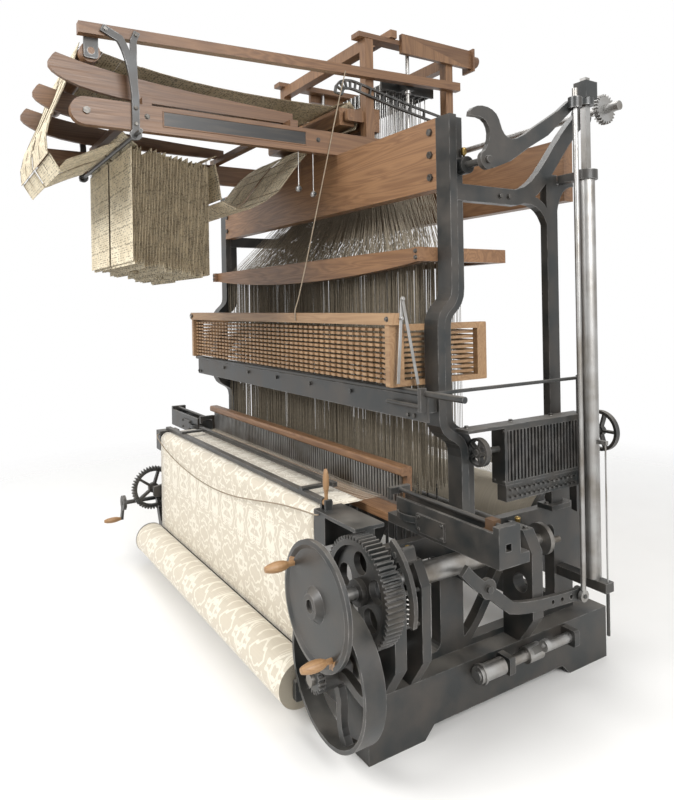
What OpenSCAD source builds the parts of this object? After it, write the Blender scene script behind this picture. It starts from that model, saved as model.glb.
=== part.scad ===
// Power loom: a cast-iron loom frame driven by a front gear train, with a swinging slay, cloth and
// warp beams, a harness hung under a timber gallery, and a card-driven pattern machine on top.
// X runs along the cloth's width (gear end positive), Y from the weaver's front to the back, Z up.
// The origin is on the floor, at the centre of the four foot bolts. Lengths are in millimetres.

/* [Loom frame] */
// Width over the two side frames
frame_w = 2350; // [2300:10:2500]
// Front edge of the plinths, ahead of the foot bolts' centre
frame_front = 665; // [655:1:675]
// Back edge of the plinths, behind the foot bolts' centre
frame_back = 635; // [615:5:660]
// Height of the plinths
plinth_h = 225; // [215:1:235]
// Width of the plinths across the loom
plinth_w = 140; // [130:1:150]
// Wall of the frame castings
cast_wall = 20; // [14:1:22]
// Height of the side frames, where the gallery posts stand
side_h = 700; // [690:1:708]
// Radius of the foot bolt holes
foot_bolt_r = 11; // [8:0.5:14]
// Distance of the foot bolts from the centre, front to back
foot_bolt_y = 560; // [520:5:585]

/* [Gallery] */
// Height of the gallery posts
gallery_h = 2330; // [2320:1:2345]
// Width of the posts across the loom
post_w = 80; // [70:1:85]
// Depth of the posts' front flange
post_t = 36; // [26:1:40]
// Front face of the upper posts, ahead of the centre
post_y = 225; // [220:1:232]
// Depth of the top beams
top_beam_d = 280; // [230:5:290]
// Thickness of the top beams
top_beam_t = 60; // [45:1:64]

/* [Harness] */
// Depth of the comber beam at mid span
comber_belly = 105; // [80:1:125]
// Number of stacked laths in the harness rack
lath_n = 11; // [8:1:11]
// Rise from one lath to the next
lath_pitch = 20; // [18:0.5:20]
// Teeth along the front of each lath
lath_teeth = 44; // [20:1:60]

/* [Slay and cloth] */
// Height of the warp line above the side frames
warp_rise = 112; // [110:0.5:116]
// Radius of the wound cloth roll
roll_r = 90; // [75:1:95]
// Radius of the breast beam's nose
breast_r = 42; // [36:1:46]
// Thickness of the woven cloth
cloth_t = 3; // [2:0.5:4]
// Gaps in the reed
reed_gaps = 96; // [40:1:110]
// Radius of the slay's rocking shaft
rock_r = 24; // [18:1:28]

/* [Drive] */
// Tooth module of the drive gears
gear_module = 6; // [5.5:0.1:6]
// Teeth on the main gear
gear_teeth = 62; // [58:1:62]
// Teeth on the pinion
pinion_teeth = 28; // [26:1:28]
// Radius of the main shaft
shaft_r = 22; // [18:1:26]
// Radius of the belt pulley
pulley_r = 242; // [225:1:248]
// Face width of the belt pulley
pulley_w = 80; // [60:1:84]
// Radius of the hand wheel disc
wheel_r = 210; // [190:1:215]

/* [Pattern machine] */
// Centre of the pattern machine, left of the loom's centre
machine_left = 170; // [150:1:190]
// Half width of the pattern machine over its posts
machine_half = 470; // [460:1:480]
// Height of the pattern machine's posts above the gallery
machine_rise = 630; // [600:1:670]
// Thickness of the card timbers
timber_t = 40; // [30:1:46]
// Depth of the lower card timbers
timber_d = 110; // [95:1:115]
// Reach of the lower card timbers ahead of the centre
card_reach = 1450; // [1430:5:1480]
// Thickness of the card chain
card_t = 5; // [4:0.5:6]
// Folds in each hanging card pile
card_folds = 13; // [8:1:14]

/* [Hidden] */

$fn = 48;
iron = "#2f3331";
steel = "#a9adb0";
wood = "#8a6238";
card = "#d8c9a3";
linen = "#e6dfcd";

// Clearance of a shaft in its bore, and the gap of a soft piece from its seat
run_c = 0.05;
seat_c = 0.3;

// Stations across the loom
side_out = frame_w / 2;
side_in = side_out - plinth_w;
web_in = side_out - 125;
web_out = web_in + 40;
post_out = side_out - 25;
post_in = post_out - post_w;
rib_in = post_in + 28;
rib_out = rib_in + 24;
arm_in = post_in + 22;
arm_out = arm_in + 36;
lever_x = side_out + 85;
lever_t = 20;
rod_x = lever_x + 27;
cloth_left = -(side_out - 115);
cloth_right = side_out - 315;
machine_x = -machine_left;

// Heights of the warp line and of the pattern machine's top
warp_z = side_h + warp_rise;
machine_h = gallery_h + machine_rise;
sill_z = gallery_h + 70;

// Stations front to back
front_y = -frame_front;
web_front = -605;
corner_front = -690;
corner_back = -565;
post_front = -post_y;
belly_front = post_front - 75;
low_front = post_front + 35;
rear_post_y = 380;
rear_beam_y = 505;

// The main shaft and the pulley shaft, which lie along Y
shaft_x = side_out - 15;
shaft_z = 605;
gear_pitch = gear_module * gear_teeth / 2;
pinion_pitch = gear_module * pinion_teeth / 2;
pulley_x = shaft_x - 40;
pulley_z = shaft_z - sqrt(pow(gear_pitch + pinion_pitch, 2) - pow(shaft_x - pulley_x, 2));
gear_y = [-700, -630];
pulley_shaft_r = 20;

// Unit vector, corner rounding and a band of even thickness along a path
function unit(v) = v / norm(v);
function arc_corner(a, b, c, r, n) = let (u = unit(a - b), w = unit(c - b), half = acos(u * w) / 2,
    o = b + unit(u + w) * r / sin(half), s = b + u * r / tan(half) - o, e = b + w * r / tan(half) - o,
    a0 = atan2(s.y, s.x), turn = (atan2(e.y, e.x) - a0 + 540) % 360 - 180)
    [for (i = [0:n]) o + r * [cos(a0 + turn * i / n), sin(a0 + turn * i / n)]];
function rounded(p, r, n = 5) = [for (i = [0:len(p) - 1])
    each arc_corner(p[(i + len(p) - 1) % len(p)], p[i], p[(i + 1) % len(p)], r, n)];
function rect(y, z) = [[y[0], z[0]], [y[1], z[0]], [y[1], z[1]], [y[0], z[1]]];
function bend(a, b, c, d, n = 8) = [for (i = [0:n]) let (t = i / n)
    pow(1 - t, 3) * a + 3 * pow(1 - t, 2) * t * b + 3 * (1 - t) * t * t * c + pow(t, 3) * d];
function left_of(v) = [-v.y, v.x];
function mitre(p, i) = let (n = len(p), a = left_of(unit(p[max(i, 1)] - p[max(i, 1) - 1])),
    b = left_of(unit(p[min(i, n - 2) + 1] - p[min(i, n - 2)])), m = unit(a + b)) m / (m * a);
function edge(p, off) = [for (i = [0:len(p) - 1]) p[i] + off * mitre(p, i)];
function band(p, t) = concat(edge(p, t / 2), [for (i = [len(p) - 1:-1:0]) edge(p, -t / 2)[i]]);
function shift(p, v) = [for (q = p) q + v];
function mid(a, b, t) = a + (b - a) * t;
// Height at a share of the gallery posts, from the side frame up to the top beams
function up(t) = mid(side_h, gallery_h, t);

// Involute gear outline, with a little backlash
function involute(base, r) = tan(acos(base / r)) * 180 / PI - acos(base / r);
function tooth_half(n, pitch, base, r) = 90 / n - 0.06 + involute(base, pitch) - involute(base, r);
function gear_outline(m, n, phase) = let (pitch = m * n / 2, base = pitch * cos(20), root = pitch - 1.25 * m,
    start = max(base, root), tip = pitch + m)
    [for (i = [0:n - 1]) let (c = phase + 360 * i / n)
        each concat([root * [cos(c - tooth_half(n, pitch, base, start)), sin(c - tooth_half(n, pitch, base, start))]],
            [for (k = [0:3]) let (r = start + 0.001 + (tip - start - 0.001) * k / 3, a = c - tooth_half(n, pitch, base, r))
                r * [cos(a), sin(a)]],
            [for (k = [3:-1:0]) let (r = start + 0.001 + (tip - start - 0.001) * k / 3, a = c + tooth_half(n, pitch, base, r))
                r * [cos(a), sin(a)]],
            [root * [cos(c + tooth_half(n, pitch, base, start)), sin(c + tooth_half(n, pitch, base, start))]])];

// Boxes and rods from their ranges, and flat shapes stood up across the loom or along it
module block(x, y, z) {
    translate([x[0], y[0], z[0]]) cube([x[1] - x[0], y[1] - y[0], z[1] - z[0]]);
}
module rod_along_x(x, y, z, r) {
    translate([x[0], y, z]) rotate([0, 90, 0]) cylinder(h = x[1] - x[0], r = r);
}
module rod_along_y(x, y, z, r) {
    translate([x, y[0], z]) rotate([-90, 0, 0]) cylinder(h = y[1] - y[0], r = r);
}
module rod_along_z(x, y, z, r) {
    translate([x, y, z[0]]) cylinder(h = z[1] - z[0], r = r);
}
// Children are drawn in (Y, Z) and stretched along X
module side_face(x) {
    translate([x[0], 0, 0]) rotate([90, 0, 90]) linear_extrude(x[1] - x[0]) children();
}
// Children are drawn in (X, Z) and stretched along Y
module front_face(y) {
    translate([0, y[1], 0]) rotate([90, 0, 0]) linear_extrude(y[1] - y[0]) children();
}
// Children are drawn in (X, Y) and stretched along Z
module plan(z) {
    translate([0, 0, z[0]]) linear_extrude(z[1] - z[0]) children();
}
// The same piece at the gear end and mirrored at the far end
module both_ends() {
    children();
    mirror([1, 0, 0]) children();
}

// Side frames: hollow plinth, upright web with rimmed windows, beam arms and the front corner box
foot_len = 250;
arch_h = 45;
leg_y = [[web_front, -520], [-260, -140], [400, 520]];
rail_d = 80;
window_r = 36;
rim = 18;
warp_beam_y = 660;
warp_beam_z = side_h - 200;
warp_journal_r = 20;
rest_y = 600;
rest_r = 30;
rest_z = warp_z - cloth_t / 2 - seat_c - rest_r;
rock_y = -400;
rock_z = 160;
corner_top = warp_z + 8;
corner_wall = 14;

function window(k, grow) = rounded(rect([leg_y[k][1] - grow, leg_y[k + 1][0] + grow],
    [plinth_h + 25 - grow, side_h - rail_d + grow]), window_r + grow);

module plinth_profile() {
    y0 = front_y + foot_len;
    y1 = frame_back - foot_len;
    polygon([[front_y, 0], [y0, 0], [y0 + arch_h, arch_h], [y1 - arch_h, arch_h], [y1, 0], [frame_back, 0],
        [frame_back, plinth_h], [front_y, plinth_h]]);
}

module web_profile() {
    difference() {
        union() {
            polygon([[web_front, plinth_h], [web_front, side_h], [leg_y[2][1], side_h], [leg_y[2][1], plinth_h]]);
            polygon(rounded([[leg_y[2][1] - 40, warp_beam_z - 160], [warp_beam_y + 60, warp_beam_z - 60],
                [warp_beam_y + 60, warp_beam_z + 60], [leg_y[2][1] - 40, side_h - 20]], 18));
            polygon(rounded(rect([rest_y - 42, rest_y + 42], [warp_beam_z + 20, rest_z + 48]), 20));
        }
        polygon(window(0, 0));
        polygon(window(1, 0));
        translate([warp_beam_y, warp_beam_z]) circle(warp_journal_r + run_c);
        translate([rest_y, rest_z]) circle(rest_r + run_c);
    }
    polygon(band(bend([leg_y[1][1] - 10, plinth_h + 10], [0, 330], [60, 560], [250, side_h - 20]), 36));
}

module side_frame() {
    difference() {
        union() {
            difference() {
                side_face([side_in, side_out]) plinth_profile();
                block([side_in + cast_wall, side_out - cast_wall], [front_y + cast_wall, frame_back - cast_wall],
                    [-1, plinth_h - cast_wall]);
            }
            for (y = [-foot_bolt_y, foot_bolt_y])
                block([side_in - 60, side_in + cast_wall], [y - 45, y + 45], [0, 25]);
            side_face([web_in, web_out]) web_profile();
            for (k = [0, 1])
                side_face([web_in - 14, web_in]) difference() {
                    polygon(window(k, rim));
                    polygon(window(k, 0));
                }
            block([web_in, web_out], [web_front, corner_back], [side_h - 1, corner_top - corner_wall]);
        }
        for (y = [-foot_bolt_y, foot_bolt_y]) rod_along_z(side_in - 30, y, [-1, 26], foot_bolt_r);
        rod_along_x([side_in - 1, side_in + cast_wall + 1], rock_y, rock_z, rock_r + run_c);
    }
}

// Corner box on the front of a side frame: its top and the wall that the breast beam meets
module corner_box(corner_in) {
    block([corner_in, post_out], [corner_front, corner_back], [corner_top - corner_wall, corner_top]);
    block([corner_in, min(corner_in + 80, post_out)], [corner_front, corner_back], [side_h, corner_top]);
}

module right_side_frame() {
    color(iron) side_frame();
}

module left_side_frame() {
    color(iron) mirror([1, 0, 0]) {
        side_frame();
        corner_box(10 - cloth_left);
    }
}

// Gallery: swan-neck front post of T section, level rail, rising arm and rear post, cast in one
rail_z = gallery_h - 295;
arm_tip = [610, gallery_h + 110];
lever_pivot = [-143, gallery_h - 194];
lever_pin_r = 14;
post_path = concat([[post_front + post_t / 2, gallery_h]],
    bend([post_front + post_t / 2, up(0.589)], [post_front + post_t / 2, up(0.534)], [belly_front + post_t / 2, up(0.552)],
        [belly_front + post_t / 2, up(0.491)]),
    bend([belly_front + post_t / 2, up(0.288)], [belly_front + post_t / 2, up(0.221)], [low_front + post_t / 2, up(0.252)],
        [low_front + post_t / 2, up(0.184)]),
    [[low_front + post_t / 2, side_h]]);

module gallery_frame() {
    side_face([post_in, post_out]) polygon(band(post_path, post_t));
    side_face([rib_in, rib_out]) polygon(band(shift(post_path, [post_t / 2 + 24, 0]), 60));
    side_face([arm_in, arm_out]) difference() {
        union() {
            polygon(band(concat([[post_front + post_t, rail_z], [100, rail_z]],
                bend([160, rail_z], [330, rail_z + 20], [400, rail_z + 250], arm_tip)), 66));
            translate(arm_tip) circle(48);
            polygon(rect([rear_post_y - 34, rear_post_y + 34], [side_h, gallery_h - 180]));
            polygon(band(bend([rear_post_y - 10, gallery_h - 510], [rear_post_y, gallery_h - 270], [430, gallery_h - 205],
                [520, gallery_h - 200]), 44));
            polygon(band(bend([rear_post_y + 10, gallery_h - 510], [rear_post_y, gallery_h - 370], [330, rail_z], [210, rail_z]), 40));
        }
        translate(arm_tip) circle(cross_shaft_r + run_c);
    }
    rod_along_x([rib_in, post_out + 12], lever_pivot.x, lever_pivot.y, 34);
    block([post_in, post_out], [low_front - 10, low_front + 120], [side_h, side_h + 22]);
    block([post_in, post_out], [rear_post_y - 60, rear_post_y + 60], [side_h, side_h + 22]);
}

cross_shaft_r = 16;

module right_gallery_frame() {
    color(iron) {
        gallery_frame();
        rod_along_x([post_out, lever_x + lever_t / 2 + 12], lever_pivot.x, lever_pivot.y, lever_pin_r);
    }
}

module left_gallery_frame() {
    color(iron) mirror([1, 0, 0]) gallery_frame();
}

// Timber beams across the top of the gallery
module front_top_beam() {
    color(wood) block([-post_in, post_in], [post_front, post_front + top_beam_t],
        [gallery_h - top_beam_d, gallery_h]);
}

module rear_top_beam() {
    color(wood) block([-arm_in, arm_in], [rear_beam_y, rear_beam_y + top_beam_t],
        [gallery_h - top_beam_d, gallery_h]);
}

// Iron rails that tie the two plinths together
module cross_ties() {
    color(iron) {
        block([-side_in, side_in], [-640, -600], [90, 200]);
        block([-side_in, side_in], [590, 625], [90, 190]);
        rod_along_x([-web_in, web_in], 90, side_h - rail_d + rim + 30, 24);
        roller_bearing([cloth_right + 6, cloth_right + 26], -640);
    }
}

// Plate that carries one journal of the cloth roller, from the face behind it
module roller_bearing(x, back) {
    side_face(x) difference() {
        polygon(rounded(rect([cloth_roll_y - 34, back], [cloth_roll_z - 45, cloth_roll_z + 33]), 10));
        translate([cloth_roll_y, cloth_roll_z]) circle(roll_journal_r + run_c);
    }
}
roll_journal_r = 18;

// Comber frame: fish-bellied front beam, end rails, back beam and the board that the cords pass
comber_z = up(0.687);
comber_y = [-300, -255];
comber_end = 55;
comber_back = 150;

module comber_frame() {
    half = post_in - 40;
    color(wood) {
        front_face(comber_y) polygon(concat([[-half, comber_z], [-half, comber_z - comber_end]],
            bend([-half, comber_z - comber_end], [-half * 0.4, comber_z - comber_belly - 16],
                [half * 0.4, comber_z - comber_belly - 16], [half, comber_z - comber_end], 14), [[half, comber_z]]));
        both_ends() block([half, post_in], [comber_y[0] - 20, comber_back], [comber_z - comber_end, comber_z]);
        block([-half, half], [comber_back - 40, comber_back], [comber_z - comber_end, comber_z]);
        block([-half, half], [comber_y[1], comber_back - 40], [comber_z - 36, comber_z - 20]);
    }
}

// Harness cords: a fan from the pattern machine to the comber board, and level rows below it
harness_x = [cloth_left + 40, cloth_right + 100];
harness_y = [-245, 5];
fan_n = 26;

module harness_upper() {
    color(linen) for (i = [0:fan_n - 1]) {
        top_x = machine_x + 2 * (machine_half - 90) * (i / (fan_n - 1) - 0.5);
        low_x = mid(harness_x[0], harness_x[1] - 26, i / (fan_n - 1));
        block([top_x - 8, top_x + 8], [150, 470], [gallery_h - 6, sill_z]);
        hull() {
            block([top_x - 8, top_x + 8], [150, 470], [gallery_h - 8, gallery_h - 6]);
            block([low_x, low_x + 26], harness_y, [comber_z - 20, comber_z - 18]);
        }
    }
}

module harness_lower() {
    rows = 4;
    ridges = 44;
    step = (harness_x[1] - harness_x[0]) / ridges;
    color(linen) for (k = [0:rows - 1]) {
        y = mid(harness_y[0] + 8, harness_y[1] - 8, k / (rows - 1));
        plan([warp_z + 6, comber_z - 36]) polygon(concat(
            [for (i = [0:ridges - 1]) each [[harness_x[0] + i * step, y - 2], [harness_x[0] + (i + 0.5) * step, y - 8]]],
            [[harness_x[1], y - 2]],
            [for (i = [ridges - 1:-1:0]) each [[harness_x[0] + (i + 0.5) * step, y + 8], [harness_x[0] + i * step, y + 2]]]));
    }
}

// Lath rack: toothed lath frames stacked between two cheeks, under a front rail
rack_y = [-470, 30];
rack_z = up(0.365);
rack_rail_z = [rack_z + 225, rack_z + 270];

module lath() {
    half = post_in - 26;
    step = 2 * half / lath_teeth;
    difference() {
        polygon(concat([[half, rack_y[1]], [-half, rack_y[1]], [-half, rack_y[0] + 26]],
            [for (i = [0:lath_teeth - 1]) let (x = -half + i * step) each [[x + 0.2 * step, rack_y[0] + 26],
                [x + 0.25 * step, rack_y[0] + 16], [x + 0.75 * step, rack_y[0] + 16], [x + 0.8 * step, rack_y[0] + 26]]],
            [[half, rack_y[0] + 26]]));
        polygon(rect([-half + 18, half - 18], [rack_y[0] + 46, rack_y[1] - 18]));
    }
}

module lath_rack() {
    color(wood) {
        for (k = [0:lath_n - 1]) plan([rack_z + k * lath_pitch, rack_z + k * lath_pitch + 11]) lath();
        both_ends() side_face([post_in - 26, post_in]) difference() {
            polygon(rounded(rect(rack_y, [rack_z - 10, rack_rail_z[0] + 1]), 6));
            polygon(rect([rack_y[0] + 70, rack_y[1] - 50], [rack_z + 12, rack_rail_z[0] - 24]));
        }
        block([-post_in - 20, post_in + 20], [rack_y[0], rack_y[0] + 45], rack_rail_z);
    }
}

// Guard board with a round rail along its top, on arms from the posts
guard_y = [-402, -390];
guard_z = [up(0.285), up(0.285) + 97];

module guard_board() {
    color(iron) {
        block([-post_out + 5, side_out + 25], guard_y, guard_z);
        rod_along_x([-post_out - 20, post_out + 250], guard_y[0] + 2, guard_z[1] + 8, 12);
        both_ends() block([post_in + 15, post_out - 15], [guard_y[1], belly_front], [guard_z[0] + 20, guard_z[1] - 10]);
        block([side_out + 6, side_out + 24], [guard_y[0] - 26, guard_y[0] + 1], [guard_z[0] + 40, guard_z[1] + 30]);
        rod_along_x([side_out - 190, side_out + 10], guard_y[0] - 18, guard_z[0] + 58, 8);
        for (x = [-700, -350, 0, 350, 700]) rod_along_y(x, [guard_y[0] - 10, guard_y[0]], guard_z[1] - 30, 9);
    }
}

// Breast beam with a rounded nose, the bars over the cloth, and the cloth itself
breast_y = -645;
breast_z = warp_z - cloth_t / 2 - seat_c - breast_r;
breast_x = [-web_in, cloth_right + 5];
fell_y = -462;
cloth_roll_y = -760;
cloth_roll_z = 165;
bar_z = [corner_top, corner_top + 18];

module breast_beam() {
    color(wood) side_face(breast_x) union() {
        translate([breast_y, breast_z]) circle(breast_r);
        polygon(rect([breast_y, corner_back], [breast_z - breast_r, breast_z + breast_r]));
    }
}

module cloth_bars() {
    color(iron) {
        block([breast_x[0] - 60, breast_x[1] + 10], [-640, -610], bar_z);
        block([cloth_left + 200, cloth_right - 150], [-508, -486], [bar_z[1], bar_z[1] + 20]);
        for (x = [cloth_left + 240, cloth_right - 190]) block([x - 14, x + 14], [-640, -500], [bar_z[1], bar_z[1] + 12]);
        for (side = [-1, 1]) block([start_x + side * 15 - 5, start_x + side * 15 + 5], [start_y - 15, start_y + 15],
            [corner_top, start_z + 14]);
        rod_along_x([start_x - 15, start_x + 15], start_y, start_z, start_pin_r);
        corner_box(cloth_right + 5);
    }
}

cloth_face = breast_y - breast_r - seat_c - cloth_t / 2;

module cloth() {
    nose = [for (a = [90:10:180]) [breast_y, breast_z] + (breast_r + seat_c + cloth_t / 2) * [cos(a), sin(a)]];
    touch = cloth_roll_z + sqrt(pow(roll_r + 1, 2) - pow(cloth_face - cloth_t - cloth_roll_y, 2));
    color(linen) side_face([cloth_left, cloth_right])
        polygon(band(concat([[fell_y, warp_z]], nose, [[cloth_face, touch + 2]]), cloth_t));
}

// Harness weights below the warp, the warp sheet, and the back rest that it bends over
module lingoes() {
    color(iron) for (k = [0, 1], i = [0:29])
        rod_along_z(mid(cloth_left + 60, cloth_right - 20, i / 29), harness_y[0] + 60 + 130 * k,
            [430, warp_z - cloth_t / 2], 4, $fn = 16);
}

warp_roll_r = 165;
warp_left = -web_in + 6;

module warp_sheet() {
    over_rest = [for (a = [90:-10:40]) [rest_y, rest_z] + (rest_r + seat_c + cloth_t / 2 + 0.2) * [cos(a), sin(a)]];
    color(linen) side_face([warp_left + 26, cloth_right]) polygon(band(concat([[harness_y[0] - 10, warp_z]], over_rest,
        [[warp_beam_y, warp_beam_z] + (warp_roll_r + cloth_t) * [cos(40), sin(40)]]), cloth_t));
}

module back_rest() {
    color(steel) rod_along_x([-web_out, web_out], rest_y, rest_z, rest_r);
}

// Card frame: lower beams, upper timbers, guide boards, iron hangers and rails
timber_in = machine_half;
timber_out = machine_half + timber_t;
timber_top = gallery_h + timber_d;
upper_front = [-1415, gallery_h + 360];
upper_back = [590, gallery_h + 440];
upper_d = 45;
card_rod = [-1200, gallery_h - 20];
card_rod_r = 9;
card_roller = [-1360, gallery_h + 310];
card_roller_r = 40;

module at_machine() {
    translate([machine_x, 0, 0]) children();
}

module card_timbers() {
    nose = timber_d / 2;
    color(wood) at_machine() both_ends() {
        side_face([timber_in, timber_out]) polygon(concat([[330, gallery_h], [330, timber_top]],
            [for (a = [90:15:270]) [-card_reach + nose, gallery_h + nose] + nose * [cos(a), sin(a)]]));
        side_face([timber_in, timber_out]) polygon([upper_front, upper_front + [0, upper_d], upper_back + [0, upper_d],
            upper_back]);
    }
    color(wood) at_machine() for (y = [-1150, -460])
        block([-timber_out, timber_out], [y - 20, y + 20], [timber_top, timber_top + 30]);
}

module card_guides() {
    base = timber_top + 30;
    color(wood) at_machine() for (x = [-430, 0, 430])
        side_face([x - 12, x + 12]) polygon(concat([[-430, base], [-430, base + 50]],
            bend([-430, base + 50], [-1000, base + 76], [-1300, base + 96], [-1490, base + 150], 6),
            bend([-1500, base + 140], [-1545, base + 90], [-1500, base + 70], [-1450, base + 46], 5),
            bend([-1400, base + 30], [-1300, base + 6], [-1200, base], [-1100, base], 4)));
}

module card_hangers() {
    plate = [timber_out, timber_out + 14];
    color(iron) at_machine() {
        both_ends() {
            side_face(plate) {
                polygon(band(concat([[-1330, gallery_h + 392]], shift(bend([-1260, 360], [-1225, 310], [-1210, 230], [-1200, 140]), [0, gallery_h]),
                    [card_rod]), 30));
                polygon(band(concat([[-1190, gallery_h + 398]],
                    shift(bend([-1205, 360], [-1205, 310], [-1205, 230], [-1200, 140]), [0, gallery_h])), 26));
                translate(card_rod) circle(24);
            }
            side_face([timber_in - 14, timber_in]) difference() {
                polygon(rounded(rect([card_roller.x - 28, card_roller.x + 28], [card_roller.y - 30, gallery_h + 398]), 12));
                translate(card_roller) circle(14 + run_c);
            }
        }
        rod_along_x([-timber_out - 80, timber_out + 80], card_rod.x, card_rod.y, card_rod_r);
        side_face([machine_half, machine_half + 16]) curved_rail();
    }
    color(steel) at_machine() for (y = [-430, -350]) {
        rod_along_z(timber_out - timber_t / 2, y, [gallery_h - 280 - y / 4, gallery_h], 2.5);
        translate([timber_out - timber_t / 2, y, gallery_h - 284 - y / 4]) sphere(15);
    }
}

// Ribbed rail, bent like a sledge runner, along the near side of the pattern machine
module curved_rail() {
    path = shift(concat(bend([-190, 245], [-190, 310], [-120, 306], [-60, 292], 6), bend([0, 280], [160, 245],
        [340, 216], [560, 185], 6)), [0, sill_z]);
    polygon(band(edge(path, 20), 9));
    polygon(band(edge(path, -20), 9));
    for (i = [0:len(path) - 1]) polygon(band([edge(path, 20)[i], edge(path, -20)[i]], 7));
}

// Card chains: from the piles' backs up round the card cylinder, out to the top roller and down
card_x = [[65 - machine_half, -15], [15, machine_half - 65]];
cylinder_at = [-95, sill_z + 160];
cylinder_half = 44;
wrap_r = cylinder_half * sqrt(2) + 4 + card_t / 2;
roller_wrap = card_roller_r + 1.2 + card_t / 2;
pile_y = [card_rod.x + card_rod_r + seat_c + card_t / 2, -850];
pile_top = [gallery_h - 40, gallery_h - 98];
pile_low = [gallery_h - 530, gallery_h - 625];
pile_pitch = (pile_y[1] - pile_y[0]) / (2 * card_folds - 1);

module card_chains() {
    round_cylinder = [for (a = [-70:20:110]) cylinder_at + wrap_r * [cos(a), sin(a)]];
    round_roller = [for (a = [80:10:180]) card_roller + roller_wrap * [cos(a), sin(a)]];
    rising = shift(concat(bend([-790, -210], [-760, -300], [-640, -300], [-520, -200]),
        bend([-470, -150], [-380, -40], [-330, 50], [-200, 110], 5)), [0, gallery_h]);
    level = shift(bend([-200, 270], [-520, 260], [-960, 250], [-1290, 330], 9), [0, gallery_h]);
    falling = shift(concat(bend([-1415, 270], [-1450, 150], [-1545, 0], [-1520, -90], 6),
        bend([-1490, -140], [-1420, -120], [-1330, -60], [-1228, -24], 6)), [0, gallery_h]);
    over_rod = [for (a = [140:-20:0]) card_rod + (card_rod_r + seat_c + card_t / 2) * [cos(a), sin(a)]];
    path = concat([[pile_y[1], pile_top[1] + seat_c]], bend([pile_y[1], pile_top[1] + 20], [pile_y[1], pile_top[1] + 60],
        [-812, pile_top[1] + 50], [-800, pile_top[1] - 42], 5), rising, round_cylinder, level, round_roller, falling, over_rod,
        [[pile_y[0], pile_top[0] + seat_c]]);
    color(card) at_machine() for (x = card_x) side_face(x) polygon(band(path, card_t));
}

module card_piles() {
    fold = [for (i = [0:2 * card_folds - 1]) let (t = i / (2 * card_folds - 1),
        y = mid(pile_y[0], pile_y[1], t), top = mid(pile_top[0], pile_top[1], t), low = mid(pile_low[0], pile_low[1], t))
        each i % 2 == 0 ? [[y, top], [y, low]] : [[y, low], [y, top]]];
    color(card) at_machine() for (x = card_x) side_face(x) polygon(band(fold, card_t));
}

// Pattern machine: sills, posts, rails and planks; needle box, hooks, griffe and card cylinder
post_at = [[-20, 30], [520, 570]];
board_z = [sill_z, sill_z + 12];
guide_r = 10;
guide_y = 275;
griffe_z = machine_h - 220;
hook_y0 = 150;
hook_pitch = 44;

module machine_frame() {
    color(wood) at_machine() {
        both_ends() {
            block([machine_half - 60, machine_half], [post_front, 640], [gallery_h, sill_z]);
            for (y = post_at) block([machine_half - 50, machine_half], y, [sill_z, machine_h]);
            block([machine_half - 65, machine_half + 5], [-60, 650], [machine_h, machine_h + 25]);
        }
        for (y = post_at) block([50 - machine_half, machine_half - 50], y, [machine_h - 60, machine_h]);
        block([-machine_half - 20, machine_half + 20], [130, 170], [machine_h + 25, machine_h + 65]);
        both_ends() {
            block([machine_half - 1, machine_half + 24], [200, 690], [machine_h - 45, machine_h + 55]);
            block([machine_half - 50, machine_half + 40], [689, 702], [machine_h - 60, machine_h + 64]);
            rod_along_y(machine_half + 6, [701, 738], machine_h + 2, 32);
        }
        block([60 - machine_half, machine_half - 60], [post_front, post_front + 50], [gallery_h, sill_z]);
        block([60 - machine_half, machine_half - 60], [590, 640], [gallery_h, sill_z]);
        block([-machine_half, machine_half], [hook_y0 - 20, hook_y0 + 7 * hook_pitch + 22], board_z);
        cylinder_arms();
    }
    color(steel) at_machine() both_ends() {
        rod_along_z(machine_half - 30, guide_y, [board_z[1], machine_h], guide_r);
        rod_along_z(machine_half - 30, guide_y, [griffe_z - 16, griffe_z], guide_r + 8);
    }
}

module needle_box() {
    color(wood) at_machine() difference() {
        block([50 - machine_half, machine_half - 50], [-10, 100], [sill_z + 100, sill_z + 220]);
        for (i = [0:19], k = [0:3])
            rod_along_y((machine_half - 90) * (i / 9.5 - 1), [-11, 4], sill_z + 124 + 24 * k, 6);
    }
}

module hooks() {
    color(steel) at_machine() for (k = [0:7], i = [0:18])
        rod_along_z((machine_half - 110) * (i / 9 - 1), hook_y0 + hook_pitch * k, [board_z[1], griffe_z + 40], 3, $fn = 16);
}

module griffe() {
    reach = machine_half - 62;
    y = [hook_y0 - 24, hook_y0 + 7 * hook_pitch + 24];
    color(iron) at_machine() {
        difference() {
            union() {
                both_ends() block([reach - 14, reach], y, [griffe_z, griffe_z + 50]);
                both_ends() block([reach - 1, machine_half - 12], [guide_y - 30, guide_y + 30], [griffe_z, griffe_z + 50]);
            }
            both_ends() rod_along_z(machine_half - 30, guide_y, [griffe_z - 1, griffe_z + 51], guide_r + run_c);
        }
        for (k = [0:7]) block([14 - reach, reach - 14], [hook_y0 + hook_pitch * k + 10, hook_y0 + hook_pitch * k + 16],
            [griffe_z + 6, griffe_z + 44]);
    }
}

module card_cylinder() {
    color(wood) at_machine() {
        side_face([66 - machine_half, machine_half - 66]) translate(cylinder_at) square(2 * cylinder_half, center = true);
        rod_along_x([-machine_half + 20, machine_half - 20], cylinder_at.x, cylinder_at.y, 12);
    }
}

module cylinder_arms() {
    both_ends() side_face([machine_half - 46, machine_half - 20]) difference() {
        polygon(rounded(rect([cylinder_at.x - 26, post_at[0][0]], [cylinder_at.y - 30, cylinder_at.y + 30]), 12));
        translate(cylinder_at) circle(12 + run_c);
    }
}

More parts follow.
